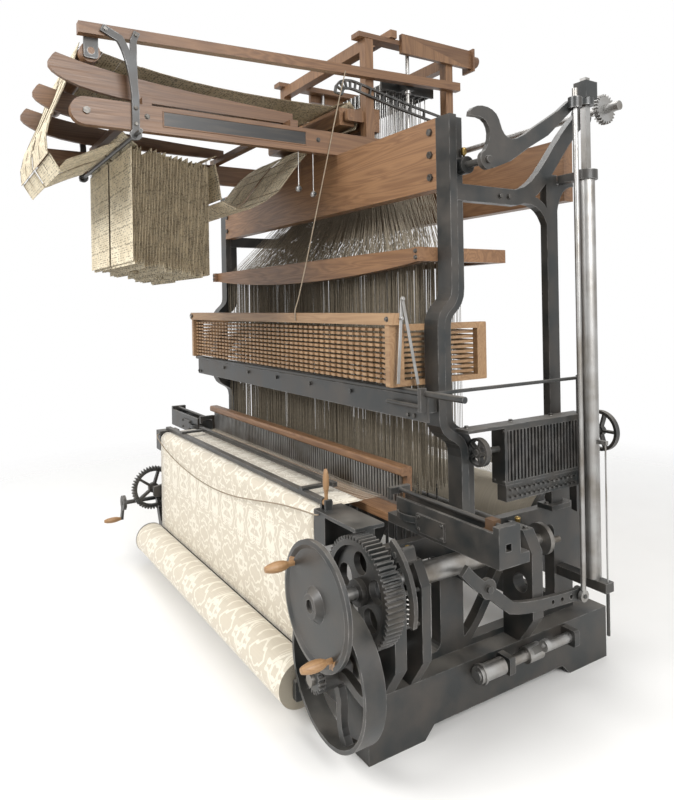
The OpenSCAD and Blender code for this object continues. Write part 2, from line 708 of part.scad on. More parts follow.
module top_roller() {
    color(wood) at_machine() {
        rod_along_x([-timber_in + 16, timber_in - 16], card_roller.x, card_roller.y, card_roller_r);
        rod_along_x([-timber_in + 1, timber_in - 1], card_roller.x, card_roller.y, 14);
    }
}

// Bearing stands of the main and pulley shafts, with the brake pivot and the spring studs
stand_y = [[-600, -550], [-480, -440], [80, 140]];
stand_top = 680;
brake_pivot = [shaft_x + 130, shaft_z + 155];
brake_y = [-624, -608];
treadle_pivot = [-176, 530];
treadle_pin_r = 14;

module stand_profile(two) {
    difference() {
        union() {
            polygon(rounded([[web_out, plinth_h], [side_out, plinth_h], [side_out + 75, plinth_h + 110],
                [side_out + 75, stand_top - 80], [side_out + 30, stand_top], [web_out, stand_top]], 6));
            children();
        }
        translate([shaft_x, shaft_z]) circle(shaft_r + run_c);
        if (two) translate([pulley_x, pulley_z]) circle(pulley_shaft_r + run_c);
        translate([shaft_x + 25, shaft_z - 140]) circle(38);
    }
}

module shaft_stands() {
    color(iron) {
        front_face(stand_y[0]) stand_profile(true)
            polygon(rounded([[shaft_x, stand_top - 70], [brake_pivot.x + 24, brake_pivot.y - 24],
                [brake_pivot.x + 10, brake_pivot.y + 26], [shaft_x - 10, stand_top + 10]], 12));
        front_face(stand_y[1]) stand_profile(true);
        front_face(stand_y[2]) stand_profile(false);
        rod_along_y(brake_pivot.x, [brake_y[0] - 4, stand_y[0][0]], brake_pivot.y, 10);
        rod_along_x([web_out, lever_x + lever_t / 2 + 12], treadle_pivot.x, treadle_pivot.y, treadle_pin_r);
        for (y = [[-50, -20], [330, 360]]) front_face(y) difference() {
            polygon(rounded(rect([side_out, pick_x + 34], [pick_z - 34, pick_z + 34]), 10));
            translate([pick_x, pick_z]) circle(pick_r + run_c);
        }
        for (z = [spring_z[0], spring_z[1]]) rod_along_y(spring_x, [stand_y[0][1], stand_y[1][0]], z, stud_r);
    }
}

// Picking shaft along the foot of the right frame, with its sleeves and the arm that kicks the picker
pick_x = side_out + 40;
pick_z = 187;
pick_r = 20;
pick_eye = [pick_x + 75, pick_z + 63];

module picking_shaft() {
    color(steel) {
        rod_along_y(pick_x, [-195, 375], pick_z, pick_r);
        rod_along_y(pick_x, [-190, -60], pick_z, 32);
        rod_along_y(pick_x, [70, 150], pick_z, 32);
        rod_along_y(pick_x, [-176, -166], pick_z, 38);
    }
    color(iron) front_face([90, 114]) difference() {
        union() {
            polygon(band([[pick_x, pick_z], pick_eye], 26));
            translate(pick_eye) circle(22);
        }
        translate(pick_eye) circle(11);
    }
}

// Coil springs: wire swept along a helix
spring_x = side_out + 55;
spring_z = [470, 590];
spring_turns = 6;
spring_r = 12;
wire_r = 3;
stud_r = 7;

coil_steps = 10;
coil = [for (i = [0:spring_turns * coil_steps]) [spring_r * sin(360 * i / coil_steps), spring_r * cos(360 * i / coil_steps),
    mid(spring_z[0] + stud_r + wire_r + 0.2, spring_z[1] - stud_r - wire_r - 0.2, i / (spring_turns * coil_steps))]];

module springs() {
    y = (stand_y[0][1] + stand_y[1][0]) / 2;
    color(steel) for (side = [-1, 1]) translate([spring_x, y + side * (spring_r + wire_r - 2), 0])
        cord_tube(coil, wire_r, 6, [0, 0, 1]);
}

// Main shaft with its crank disc, spoked gear, dished hand wheel and belt pulley
crank_y = [222, 244];
handle_angles = [147, 306];
handle_at = 172;
wheel_y = [-862, -848];
pulley_y = [-800, -800 + pulley_w];

module main_shaft() {
    color(steel) {
        rod_along_y(shaft_x, [wheel_y[0] - 8, crank_y[1] + 8], shaft_z, shaft_r);
        rod_along_y(shaft_x, [stand_y[1][1] + 10, stand_y[2][0] - 10], shaft_z, 40);
        rod_along_y(shaft_x, crank_y, shaft_z, 66);
        rod_along_y(shaft_x + 44, [crank_y[1], crank_y[1] + 50], shaft_z, 13);
        rod_along_y(shaft_x, [stand_y[2][1] + 0.3, stand_y[2][1] + 30], shaft_z, 34);
    }
}

module main_gear() {
    color(iron) difference() {
        union() {
            front_face(gear_y) difference() {
                translate([shaft_x, shaft_z]) polygon(gear_outline(gear_module, gear_teeth, gear_phase));
                translate([shaft_x, shaft_z]) circle(gear_pitch - 26);
            }
            front_face([gear_y[0] + 22, gear_y[1] - 22]) translate([shaft_x, shaft_z]) difference() {
                circle(gear_pitch - 25);
                for (a = [0:72:288]) rotate(a + 18) translate([98, 0]) circle(40);
            }
            rod_along_y(shaft_x, gear_y, shaft_z, 46);
        }
        rod_along_y(shaft_x, [gear_y[0] - 1, gear_y[1] + 1], shaft_z, shaft_r);
    }
}
gear_phase = atan2(pulley_z - shaft_z, pulley_x - shaft_x);

module hand_wheel() {
    color(iron) difference() {
        union() {
            translate([shaft_x, wheel_y[1], shaft_z]) rotate([90, 0, 0]) rotate_extrude() polygon([[0, -14], [40, -14],
                [40, 0], [wheel_r - 40, 2], [wheel_r - 22, 0], [wheel_r, 0], [wheel_r, 16], [wheel_r - 16, 20],
                [wheel_r - 30, 12], [60, 12], [40, 34], [0, 34]]);
        }
        rod_along_y(shaft_x, [wheel_y[0] - 40, wheel_y[1] + 40], shaft_z, shaft_r);
    }
    color(wood) for (a = handle_angles) translate([shaft_x + handle_at * cos(a), wheel_y[1] - 12, shaft_z + handle_at * sin(a)])
        rotate([90, 0, 0]) rotate_extrude() polygon(concat([[0, 0], [9, 0], [9, 24]],
            bend([12, 26], [24, 50], [20, 90], [10, 112], 6), [[0, 114]]));
}

module drive_pulley() {
    color(iron) difference() {
        union() {
            front_face(pulley_y) translate([pulley_x, pulley_z]) difference() {
                circle(pulley_r);
                circle(pulley_r - 14);
            }
            front_face([pulley_y[0] + 26, pulley_y[1] - 26]) translate([pulley_x, pulley_z]) for (a = [0:72:288]) rotate(a)
                polygon(band(bend([30, 0], [90, 46], [150, -46], [pulley_r - 8, 0]), 30));
            rod_along_y(pulley_x, [pulley_y[0] - 30, pulley_y[1]], pulley_z, 48);
            front_face([pulley_y[0] - 52, pulley_y[0] - 28]) translate([pulley_x, pulley_z])
                polygon(gear_outline(5, 18, 0));
        }
        rod_along_y(pulley_x, [pulley_y[0] - 60, pulley_y[1] + 1], pulley_z, pulley_shaft_r);
    }
}

module pulley_shaft() {
    color(steel) {
        rod_along_y(pulley_x, [pulley_y[0] - 66, stand_y[1][1] + 12], pulley_z, pulley_shaft_r);
        difference() {
            front_face(gear_y) translate([pulley_x, pulley_z])
                polygon(gear_outline(gear_module, pinion_teeth, gear_phase + 180 + 180 / pinion_teeth));
            rod_along_y(pulley_x, [gear_y[0] - 1, gear_y[1] + 1], pulley_z, pulley_shaft_r - 1);
        }
    }
}

// Slay: swords on a rocking shaft, race board, reed, hand rail and a shuttle box at each end
sword_x = side_out - 355;
race_x = side_out - 165;
race_z = [warp_z - 47, warp_z - 12];
race_y = [-445, -310];
box_x = [race_x, side_out + 415];
reed_y = [-362, -350];
cap_z = [warp_z + 113, warp_z + 148];

module slay_swords() {
    color(iron) {
        rod_along_x([-side_in - cast_wall, side_in + cast_wall], rock_y, rock_z, rock_r);
        for (x = [-sword_x, sword_x]) side_face([x - 22, x + 22]) {
            difference() {
                union() {
                    translate([rock_y, rock_z]) circle(52);
                    polygon(rounded([[rock_y - 40, rock_z], [rock_y + 40, rock_z], [rock_y + 24, race_z[0] - 165],
                        [race_y[1], race_z[0] - 60], [race_y[1], race_z[0]], [race_y[0] + 20, race_z[0]],
                        [race_y[0] + 20, race_z[0] - 60], [rock_y - 24, race_z[0] - 165]], 8));
                }
                translate([rock_y, rock_z]) circle(rock_r);
            }
        }
    }
}

module race_board() {
    color(wood) side_face([-race_x, race_x]) polygon([[race_y[0], race_z[0]], [race_y[1], race_z[0]], [race_y[1], race_z[1] + 8],
        [reed_y[1] + 2, race_z[1] + 8], [reed_y[1] + 2, race_z[1]], [race_y[0], race_z[1] - 6]]);
}

module reed() {
    half = race_x - 30;
    step = 2 * half / reed_gaps;
    color(steel) {
        difference() {
            block([-half, half], reed_y, [race_z[1], cap_z[0] + 12]);
            for (i = [0:reed_gaps - 1]) block([-half + (i + 0.25) * step, -half + (i + 0.75) * step],
                [reed_y[0] - 1, reed_y[1] + 1], [race_z[1] + 14, cap_z[0] - 4]);
        }
    }
}

module hand_rail() {
    color(wood) {
        difference() {
            side_face([-race_x, race_x]) polygon(rounded(rect([reed_y[0] - 18, reed_y[1] + 26], cap_z), 10));
            block([30 - race_x, race_x - 30], reed_y, [cap_z[0] - 1, cap_z[0] + 12]);
        }
        both_ends() block([race_x - 30, race_x], [reed_y[1] + 2, reed_y[1] + 24], [race_z[1] + 8, cap_z[0] + 4]);
    }
}

module shuttle_box() {
    difference() {
        union() {
            block(box_x, race_y, race_z);
            block([6 - cloth_left, box_x[1]], [race_y[0], race_y[0] + 12], [race_z[1] - 1, race_z[1] + 74]);
            block([box_x[0], box_x[1]], [reed_y[0], reed_y[1]], [race_z[1] - 1, race_z[1] + 60]);
            block([box_x[1] - 26, box_x[1]], [race_y[0], reed_y[1]], [race_z[1] - 1, race_z[1] + 96]);
            block([box_x[0], box_x[0] + 20], [race_y[0], reed_y[1]], [race_z[1] + 70, race_z[1] + 96]);
            block([box_x[0], box_x[0] + 20], [reed_y[0], reed_y[1]], [race_z[1] + 50, race_z[1] + 96]);
            block([box_x[0], box_x[0] + 20], [race_y[0], race_y[0] + 12], [race_z[1] + 50, race_z[1] + 96]);
        }
        block([box_x[1] - 27, box_x[1] + 1], [race_y[0] + 30, race_y[0] + 54], [race_z[1] + 16, race_z[1] + 40]);
    }
    rod_along_x([box_x[0] + 10, box_x[1] - 10], picker_y, spindle_z, spindle_r);
    both_ends_of_plate();
}
picker_y = (race_y[0] + 12 + reed_y[0]) / 2;
spindle_z = race_z[1] + 84;
spindle_r = 8;

module both_ends_of_plate() {
    block([box_x[0] + 180, box_x[0] + 330], [race_y[0] - 8, race_y[0]], [race_z[1] - 20, race_z[1] + 44]);
    plan([race_z[1] + 4, race_z[1] + 28]) polygon(band(bend([16 - cloth_left, race_y[0] - 1], [36 - cloth_left, race_y[0] - 24],
        [box_x[0] + 140, race_y[0] - 26], [box_x[0] + 176, race_y[0] - 1]), 5));
}

module shuttle_boxes() {
    color(iron) both_ends() shuttle_box();
}

module picker() {
    x = [box_x[1] - 100, box_x[1] - 46];
    color("#6b4a2f") difference() {
        union() {
            block(x, [race_y[0] + 14, reed_y[0] - 2], [race_z[1] + 1, race_z[1] + 66]);
            block([x[0] + 8, x[1] - 8], [picker_y - 16, picker_y + 16], [race_z[1] + 60, spindle_z + 16]);
        }
        rod_along_x([x[0] - 1, x[1] + 1], picker_y, spindle_z, spindle_r + run_c);
    }
}

// Cloth roller and warp beam
module cloth_roller() {
    color(linen) rod_along_x([cloth_left, cloth_right], cloth_roll_y, cloth_roll_z, roll_r);
    color(iron) {
        rod_along_x([-side_out + 45, cloth_left], cloth_roll_y, cloth_roll_z, roll_journal_r);
        rod_along_x([cloth_right, cloth_right + 30], cloth_roll_y, cloth_roll_z, roll_journal_r);
        rod_along_x([cloth_left - 14, cloth_left], cloth_roll_y, cloth_roll_z, roll_r + 2);
    }
}

module warp_beam() {
    color(linen) rod_along_x([warp_left + 22, cloth_right + 30], warp_beam_y, warp_beam_z, warp_roll_r);
    color(iron) {
        rod_along_x([-web_out, web_out], warp_beam_y, warp_beam_z, warp_journal_r);
        for (x = [warp_left, cloth_right + 30]) side_face([x, x + 22]) translate([warp_beam_y, warp_beam_z]) difference() {
            circle(222);
            circle(warp_journal_r);
            for (a = [0:60:300]) rotate(a) translate([194, 0]) circle(14);
        }
    }
}

// Levers and rods of the lifting motion, outside the right frame
lift_y = 340;
lift_low = 384;
lift_high = gallery_h + 84;
lift_pin_r = 9;
lift_rod_r = 11;

// The upper lever is a cast plate with a hooked horn over its pivot
module upper_lever() {
    horn = concat(bend([-231, -40], [-236, 14], [-104, 24], [-80, -36]), bend([-76, -46], [-52, -124], [6, -114], [96, -50]));
    arm = [[257, 46], [326, 98], [352, 66], [193, -64], [84, -123], [-21, -188], [-116, -224]];
    heel = bend([-174, -176], [-112, -130], [-116, -40], [-186, -38]);
    color(iron) difference() {
        union() {
            side_face([lever_x - lever_t / 2, lever_x + lever_t / 2]) {
                translate([0, gallery_h]) polygon(concat(horn, arm, heel));
                translate(lever_pivot) circle(36);
            }
            rod_along_z(rod_x, lift_y, [lift_high - 22, lift_high + 22], 28);
        }
        rod_along_x([lever_x - 40, lever_x + 40], lever_pivot.x, lever_pivot.y, lever_pin_r + run_c);
        rod_along_z(rod_x, lift_y, [lift_high - 30, lift_high + 30], lift_rod_r + 5);
    }
}

module treadle_lever() {
    path = concat(bend([-292, 622], [-240, 560], [-170, 520], [-110, 470]), bend([-60, 430], [40, 396], [180, 392],
        [lift_y + 20, lift_low], 8));
    color(iron) difference() {
        union() {
            side_face([lever_x - lever_t / 2, lever_x + lever_t / 2]) {
                polygon(band(path, 46));
                translate(treadle_pivot) circle(38);
                translate([lift_y, lift_low]) circle(30);
            }
            rod_along_x([lever_x, rod_x + 12], lift_y, lift_low, lift_pin_r);
        }
        rod_along_x([lever_x - 40, lever_x + 40], treadle_pivot.x, treadle_pivot.y, treadle_pin_r + run_c);
        for (k = [1:3]) rod_along_x([lever_x - 40, lever_x + 40], lift_y - 55 * k, lift_low + 3 * k, 9);
    }
}

module lift_rod() {
    color(steel) difference() {
        union() {
            rod_along_z(rod_x, lift_y, [lift_low + 10, lift_high + 60], lift_rod_r);
            rod_along_x([rod_x - 8, rod_x + 8], lift_y, lift_low, 24);
        }
        rod_along_x([rod_x - 20, rod_x + 20], lift_y, lift_low, lift_pin_r + run_c);
    }
}

// Guide tube with its foot arm, collar arm and the square rod in it
tube_y = 440;
tube_r = 34;
tube_z = [430, gallery_h - 180];

module lift_tube() {
    color(steel) difference() {
        rod_along_z(lever_x, tube_y, tube_z, tube_r);
        rod_along_z(lever_x, tube_y, [tube_z[0] + 30, tube_z[1] + 1], tube_r - 6);
    }
    color(iron) {
        block([web_out, lever_x + 80], [tube_y - 26, tube_y + 26], [tube_z[0] - 40, tube_z[0]]);
        block([lever_x + tube_r - 3, lever_x + 78], [tube_y - 8, tube_y + 8], [1000, 1016]);
        rod_along_z(lever_x + 70, tube_y, [tube_z[0] - 10, 1001], 3.5);
        rod_along_z(lever_x + 70, tube_y, [210, tube_z[0] - 39], 7);
        difference() {
            union() {
                block([arm_out, lever_x], [tube_y - 24, tube_y + 24], [tube_z[1] - 36, tube_z[1] - 2]);
                rod_along_z(lever_x, tube_y, [tube_z[1] - 40, tube_z[1]], tube_r + 12);
            }
            rod_along_z(lever_x, tube_y, [tube_z[1] - 41, tube_z[1] + 1], tube_r);
        }
    }
    color(steel) block([lever_x - 14, lever_x + 14], [tube_y - 14, tube_y + 14], [tube_z[0] + 30, gallery_h + 210]);
    color(iron) {
        block([lever_x - 34, lever_x + 30], [tube_y - 30, tube_y + 42], [gallery_h + 120, gallery_h + 192]);
        rod_along_z(lever_x, tube_y, [gallery_h + 92, gallery_h + 121], 36);
    }
}

module top_cross_shaft() {
    color(steel) {
        rod_along_x([-arm_out - 30, lever_x - 20], arm_tip.x, arm_tip.y, cross_shaft_r);
        side_face([lever_x - 47, lever_x - 21]) translate(arm_tip) difference() {
            polygon(gear_outline(5, 24, 0));
            circle(cross_shaft_r - 1);
        }
        rod_along_x([lever_x - 22, lever_x + 46], arm_tip.x, arm_tip.y, cross_shaft_r + 4);
    }
}

// Start handle in its forked stand, with the stop cord's eye beside it
start_x = cloth_right + 40;
start_y = -655;
start_z = corner_top + 26;
start_pin_r = 6;

module start_handle() {
    color(wood) difference() {
        union() {
            rod_along_x([start_x - 9, start_x + 9], start_y, start_z, 13);
            translate([start_x, start_y, start_z]) rotate_extrude() polygon(concat([[0, 0], [7, 0], [7, 30]],
                bend([8, 40], [15, 60], [13, 110], [6, 128], 6), [[0, 130]]));
        }
        rod_along_x([start_x - 20, start_x + 20], start_y, start_z, start_pin_r + run_c);
    }
}

// Pattern box: a slatted case of peg bars on the rear post, with its shaft and two wheels
box_at = [post_out, post_out + 72];
box_y = [-30, 470];
box_z = [side_h + 180, side_h + 405];
pattern_x = post_out + 36;
pattern_z = side_h + 320;

module pattern_box() {
    color(iron) {
        difference() {
            block(box_at, box_y, box_z);
            block([box_at[0] + 12, box_at[1] + 1], [box_y[0] + 14, box_y[1] - 14], [box_z[0] + 14, box_z[1] - 12]);
            rod_along_y(pattern_x, [box_y[0] - 1, box_y[1] + 1], pattern_z, 12 + run_c);
        }
        for (i = [0:23]) block([box_at[1] - 10, box_at[1] - 2],
            [mid(box_y[0] + 22, box_y[1] - 30, i / 23), mid(box_y[0] + 22, box_y[1] - 30, i / 23) + 8],
            [box_z[0] + 14, box_z[1] - 12]);
        block([box_at[0], box_at[1]], [box_y[0] - 190, box_y[1]], [box_z[1], box_z[1] + 12]);
        block([arm_out, box_at[0]], [rear_post_y - 26, rear_post_y + 26], [box_z[0] + 20, box_z[1] - 20]);
        block([box_at[0] + 18, box_at[1] - 6], [box_y[0] + 10, box_y[1] - 10], [box_z[0] - 66, box_z[0] + 1]);
        for (k = [0, 1], i = [0:14]) rod_along_x([box_at[1] - 8, box_at[1] + 6],
            mid(box_y[0] + 30, rear_post_y, i / 14), box_z[0] - 48 + 28 * k, 5, $fn = 16);
        rod_along_y(post_out + 60, [guard_y[0] + 14 + seat_c, box_y[1]], guard_z[1] + 8, 7);
        block([post_out + 46, post_out + 71], [box_y[1] - 40, box_y[1] - 20], [box_z[1] + 11, guard_z[1] + 18]);
    }
}

module spoked_wheel(r, rim_w) {
    difference() {
        circle(r);
        circle(r - rim_w);
    }
    for (a = [0:72:288]) rotate(a) translate([0, -5]) square([r - rim_w / 2, 10]);
    circle(22);
}

module pattern_wheels() {
    color(iron) {
        rod_along_y(pattern_x, [-150, 625], pattern_z, 12);
        front_face([-146, -122]) translate([pattern_x, pattern_z]) spoked_wheel(56, 11);
        front_face([592, 616]) translate([pattern_x, pattern_z]) spoked_wheel(90, 14);
    }
}

// Take-up wheel and hand crank outside the left frame
left_x = -side_out - 30;
take_up = [-700, 440];
crank_x = -side_out - 85;
crank_z = 356;

module left_brackets() {
    color(iron) {
        side_face([-web_out - 22, -web_out]) polygon(rounded([[web_front + 60, 380], [take_up.x - 30, take_up.y - 30],
            [take_up.x - 30, take_up.y + 30], [web_front + 60, 500]], 12));
        rod_along_x([left_x - 26, -web_out - 20], take_up.x, take_up.y, 12);
        roller_bearing([-side_out + 55, -side_out + 85], front_y);
        front_face([-660, -620]) difference() {
            polygon(rounded([[-side_out, 90], [-side_out, 200], [crank_x + 34, 290], [crank_x + 34, crank_z + 36],
                [crank_x - 36, crank_z + 36], [crank_x - 36, crank_z - 30]], 10));
            translate([crank_x, crank_z]) circle(13 + run_c);
        }
    }
}

module take_up_wheel() {
    color(iron) side_face([left_x - 12, left_x + 12]) translate(take_up) difference() {
        union() {
            difference() {
                polygon(gear_outline(6, 44, 0));
                circle(106);
            }
            for (a = [0:72:288]) rotate(a) translate([0, -8]) square([112, 16]);
            circle(32);
        }
        circle(12 + run_c);
    }
}

module left_crank() {
    color(iron) {
        rod_along_y(crank_x, [-890, -606], crank_z, 13);
        rod_along_y(crank_x, [-886, -866], crank_z, 46);
        front_face([-886, -872]) polygon(band([[crank_x, crank_z], [crank_x - 40, crank_z - 110]], 30));
        translate([crank_x - 40, -884, crank_z - 110]) rotate([90, 0, 0]) rotate_extrude() polygon(concat([[0, 0], [9, 0]],
            bend([11, 10], [22, 40], [18, 80], [9, 104], 6), [[0, 106]]));
    }
}

// Brake lever: curved shoe round the gear with its link, on the stand's pivot
module brake_lever() {
    shoe = [for (a = [62:-11:-15]) [shaft_x, shaft_z] + 216 * [cos(a), sin(a)]];
    color(iron) difference() {
        union() {
            front_face(brake_y) polygon(band(shoe, 26));
            rod_along_y(brake_pivot.x, brake_y, brake_pivot.y, 24);
        }
        rod_along_y(brake_pivot.x, [brake_y[0] - 1, brake_y[1] + 1], brake_pivot.y, 10 + run_c);
    }
}

// Bolts, and the two cords
module bolts() {
    color(steel) {
        both_ends() for (z = [gallery_h - 230, gallery_h - 140, gallery_h - 50])
            translate([post_in - 34, post_front, z]) rotate([90, 0, 0]) cylinder(h = 9, r = 15, $fn = 6);
        at_machine() both_ends() translate([timber_out, -card_reach + 60, gallery_h + timber_d / 2]) rotate([0, 90, 0])
            cylinder(h = 9, r = 15, $fn = 6);
        both_ends() for (y = [low_front + 60, low_front + 105]) rod_along_z(post_out - 16, y, [side_h + 22, side_h + 32], 9);
    }
}

function cross(a, b) = [a.y * b.z - a.z * b.y, a.z * b.x - a.x * b.z, a.x * b.y - a.y * b.x];
function heading(p, i) = unit(p[min(i + 1, len(p) - 1)] - p[max(i - 1, 0)]);
function tube_ring(p, i, r, sides, up) = let (d = heading(p, i), u = unit(cross(d, up)), w = cross(d, u))
    [for (k = [0:sides - 1]) p[i] + r * (u * cos(360 * k / sides) + w * sin(360 * k / sides))];
module cord_tube(p, r, sides = 8, up = [0, 1, 0.01]) {
    n = len(p);
    polyhedron([for (i = [0:n - 1]) each tube_ring(p, i, r, sides, up)], concat(
        [[for (k = [sides - 1:-1:0]) k]], [for (i = [0:n - 2], k = [0:sides - 1]) let (a = i * sides, j = (k + 1) % sides)
            each [[a + k, a + j, a + sides + j], [a + k, a + sides + j, a + sides + k]]],
        [[for (k = [0:sides - 1]) (n - 1) * sides + k]]));
}

stop_drop = [[-1090, corner_front - 0.6, -12], [-1088, -704, -16], [-1040, -713, -30], [-900, -716, -66], [-700, -717, -100],
    [-500, -717, -121], [-300, -717, -131], [-110, -717, -129], [60, -717, -117], [215, -717, -98], [380, -717, -71],
    [520, -717, -46], [660, -716, -24], [790, -713, -10], [870, -706, -6], [898, -700, -6], [900, corner_front - 0.6, -6]];
stop_route = shift(stop_drop, [0, 0, warp_z]);
pull_x = machine_x + timber_out + 3.3;
pull_hang = [[-170, 1], [-228, 0.8197], [-285, 0.6311], [-340, 0.4508], [-395, 0.2705], [-450, 0.0984],
    [rack_y[0] - 3.3, 0.04], [rack_y[0] - 3.3, 0]];
pull_route = [for (p = pull_hang) [pull_x, p[0], mid(rack_rail_z[0] + 10, gallery_h + 420, p[1])]];

module stop_cord() {
    color(linen) cord_tube(stop_route, 3);
}

module pull_cord() {
    color(linen) cord_tube(pull_route, 3);
}

right_side_frame();
left_side_frame();
right_gallery_frame();
left_gallery_frame();
front_top_beam();
rear_top_beam();
cross_ties();
comber_frame();
harness_upper();
harness_lower();
lath_rack();
guard_board();
breast_beam();
cloth_bars();
cloth();
lingoes();
warp_sheet();
back_rest();
card_timbers();
card_guides();
card_hangers();
card_piles();
card_chains();
machine_frame();
needle_box();
hooks();
pattern_box();
shaft_stands();
left_brackets();
springs();
lift_tube();
bolts();
stop_cord();
pull_cord();
picking_shaft();
main_shaft();
main_gear();
hand_wheel();
drive_pulley();
pulley_shaft();
slay_swords();
race_board();
reed();
hand_rail();
shuttle_boxes();
picker();
cloth_roller();
warp_beam();
upper_lever();
treadle_lever();
lift_rod();
griffe();
card_cylinder();
top_roller();
start_handle();
pattern_wheels();
left_crank();
take_up_wheel();
brake_lever();
top_cross_shaft();
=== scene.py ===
import itertools
import math
import random

import bmesh
import bpy
from mathutils import Matrix, Vector


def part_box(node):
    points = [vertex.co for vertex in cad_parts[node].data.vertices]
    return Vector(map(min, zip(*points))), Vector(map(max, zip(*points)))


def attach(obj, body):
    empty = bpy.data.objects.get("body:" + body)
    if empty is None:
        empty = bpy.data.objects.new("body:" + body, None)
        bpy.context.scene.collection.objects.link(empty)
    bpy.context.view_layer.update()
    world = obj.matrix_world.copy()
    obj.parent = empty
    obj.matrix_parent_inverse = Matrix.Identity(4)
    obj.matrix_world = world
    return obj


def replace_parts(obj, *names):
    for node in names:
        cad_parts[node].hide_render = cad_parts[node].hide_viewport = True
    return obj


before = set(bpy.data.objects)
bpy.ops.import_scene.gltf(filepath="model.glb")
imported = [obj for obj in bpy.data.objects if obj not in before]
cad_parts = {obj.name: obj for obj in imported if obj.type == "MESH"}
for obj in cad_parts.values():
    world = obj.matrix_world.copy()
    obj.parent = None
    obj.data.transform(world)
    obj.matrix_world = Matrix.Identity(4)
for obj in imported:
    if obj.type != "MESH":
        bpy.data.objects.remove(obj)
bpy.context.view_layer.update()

# Frame castings: side frames, gallery frames, brackets, wheels and levers of grey iron.
# They are sand cast, fettled, and brushed with black oil paint that wears through at the
# edges and gathers lint on every ledge.
cast_black = (0.018, 0.020, 0.020, 1)
cast_brown = (0.046, 0.040, 0.034, 1)
bare_iron = (0.30, 0.29, 0.28, 1)
lint = (0.24, 0.22, 0.19, 1)
worn_edge_radius = 0.006
casting_skin_depth = 0.0012


def new_material(name):
    material = bpy.data.materials.new(name)
    material.use_nodes = True
    return material, material.node_tree, material.node_tree.nodes["Principled BSDF"]


def feed(tree, socket, value):
    if isinstance(value, bpy.types.NodeSocket):
        tree.links.new(value, socket)
    else:
        socket.default_value = value


def mix_colour(tree, amount, first, second):
    mixer = tree.nodes.new("ShaderNodeMix")
    mixer.data_type = "RGBA"
    feed(tree, mixer.inputs[0], amount)
    feed(tree, mixer.inputs[6], first)
    feed(tree, mixer.inputs[7], second)
    return mixer.outputs[2]


def calculate(tree, operation, *values):
    sums = tree.nodes.new("ShaderNodeMath")
    sums.operation = operation
    for socket, value in itertools.zip_longest(sums.inputs, values, fillvalue=0.0):
        feed(tree, socket, value)
    return sums.outputs[0]


def fit_range(tree, value, low, high, to_low=0.0, to_high=1.0):
    fitted = tree.nodes.new("ShaderNodeMapRange")
    feed(tree, fitted.inputs["Value"], value)
    feed(tree, fitted.inputs["From Min"], low)
    feed(tree, fitted.inputs["From Max"], high)
    feed(tree, fitted.inputs["To Min"], to_low)
    feed(tree, fitted.inputs["To Max"], to_high)
    return fitted.outputs["Result"]


def clouds(tree, vector, scale, detail=3.0, distortion=0.0):
    noise = tree.nodes.new("ShaderNodeTexNoise")
    feed(tree, noise.inputs["Vector"], vector)
    feed(tree, noise.inputs["Scale"], scale)
    feed(tree, noise.inputs["Detail"], detail)
    feed(tree, noise.inputs["Distortion"], distortion)
    return noise.outputs["Fac"]


def mapped(tree, vector, setting, value):
    mapping = tree.nodes.new("ShaderNodeMapping")
    feed(tree, mapping.inputs["Vector"], vector)
    feed(tree, mapping.inputs[setting], value)
    return mapping.outputs["Vector"]


def along_axes(tree, operation, vector, second=None, scale=None):
    step = tree.nodes.new("ShaderNodeVectorMath")
    step.operation = operation
    feed(tree, step.inputs[0], vector)
    if second is not None:
        feed(tree, step.inputs[1], second)
    if scale is not None:
        feed(tree, step.inputs["Scale"], scale)
    return step.outputs


def split_axes(tree, vector):
    parts = tree.nodes.new("ShaderNodeSeparateXYZ")
    feed(tree, parts.inputs["Vector"], vector)
    return parts.outputs


def new_group(name, outputs):
    tree = bpy.data.node_groups.new(name, "ShaderNodeTree")
    tree.interface.new_socket("Vector", in_out="INPUT", socket_type="NodeSocketVector")
    for output in outputs:
        tree.interface.new_socket(output, in_out="OUTPUT", socket_type="NodeSocketFloat")
    vector = tree.nodes.new("NodeGroupInput").outputs["Vector"]
    return tree, vector, tree.nodes.new("NodeGroupOutput").inputs


def place_group(tree, group, vector):
    placed = tree.nodes.new("ShaderNodeGroup")
    placed.node_tree = group
    feed(tree, placed.inputs["Vector"], vector)
    return placed.outputs


def object_coordinates(tree):
    return tree.nodes.new("ShaderNodeTexCoord").outputs["Object"]


def raise_surface(tree, shader, height, strength, distance):
    bump = tree.nodes.new("ShaderNodeBump")
    feed(tree, bump.inputs["Strength"], strength)
    feed(tree, bump.inputs["Distance"], distance)
    feed(tree, bump.inputs["Height"], height)
    feed(tree, shader.inputs["Normal"], bump.outputs["Normal"])


casting_marks, spot, marks_out = new_group("casting_marks", ("Edge", "Ledge", "Mottle", "Skin"))
geometry = casting_marks.nodes.new("ShaderNodeNewGeometry")
rounded_edge = casting_marks.nodes.new("ShaderNodeBevel")
rounded_edge.samples = 4
rounded_edge.inputs["Radius"].default_value = worn_edge_radius
turn = along_axes(casting_marks, "DOT_PRODUCT", rounded_edge.outputs["Normal"], geometry.outputs["Normal"])
sharpness = fit_range(casting_marks, turn["Value"], 0.995, 0.80)
rubbed = fit_range(casting_marks, clouds(casting_marks, spot, scale=21, detail=4), 0.40, 0.62)
feed(casting_marks, marks_out["Edge"], calculate(casting_marks, "MULTIPLY", sharpness, rubbed))
upward = fit_range(casting_marks, split_axes(casting_marks, geometry.outputs["Normal"])["Z"], 0.55, 0.98)
patchy = fit_range(casting_marks, clouds(casting_marks, spot, scale=6, detail=5), 0.30, 0.75)
feed(casting_marks, marks_out["Ledge"], calculate(casting_marks, "MULTIPLY", upward, patchy))
feed(casting_marks, marks_out["Mottle"], clouds(casting_marks, spot, scale=9, detail=4))
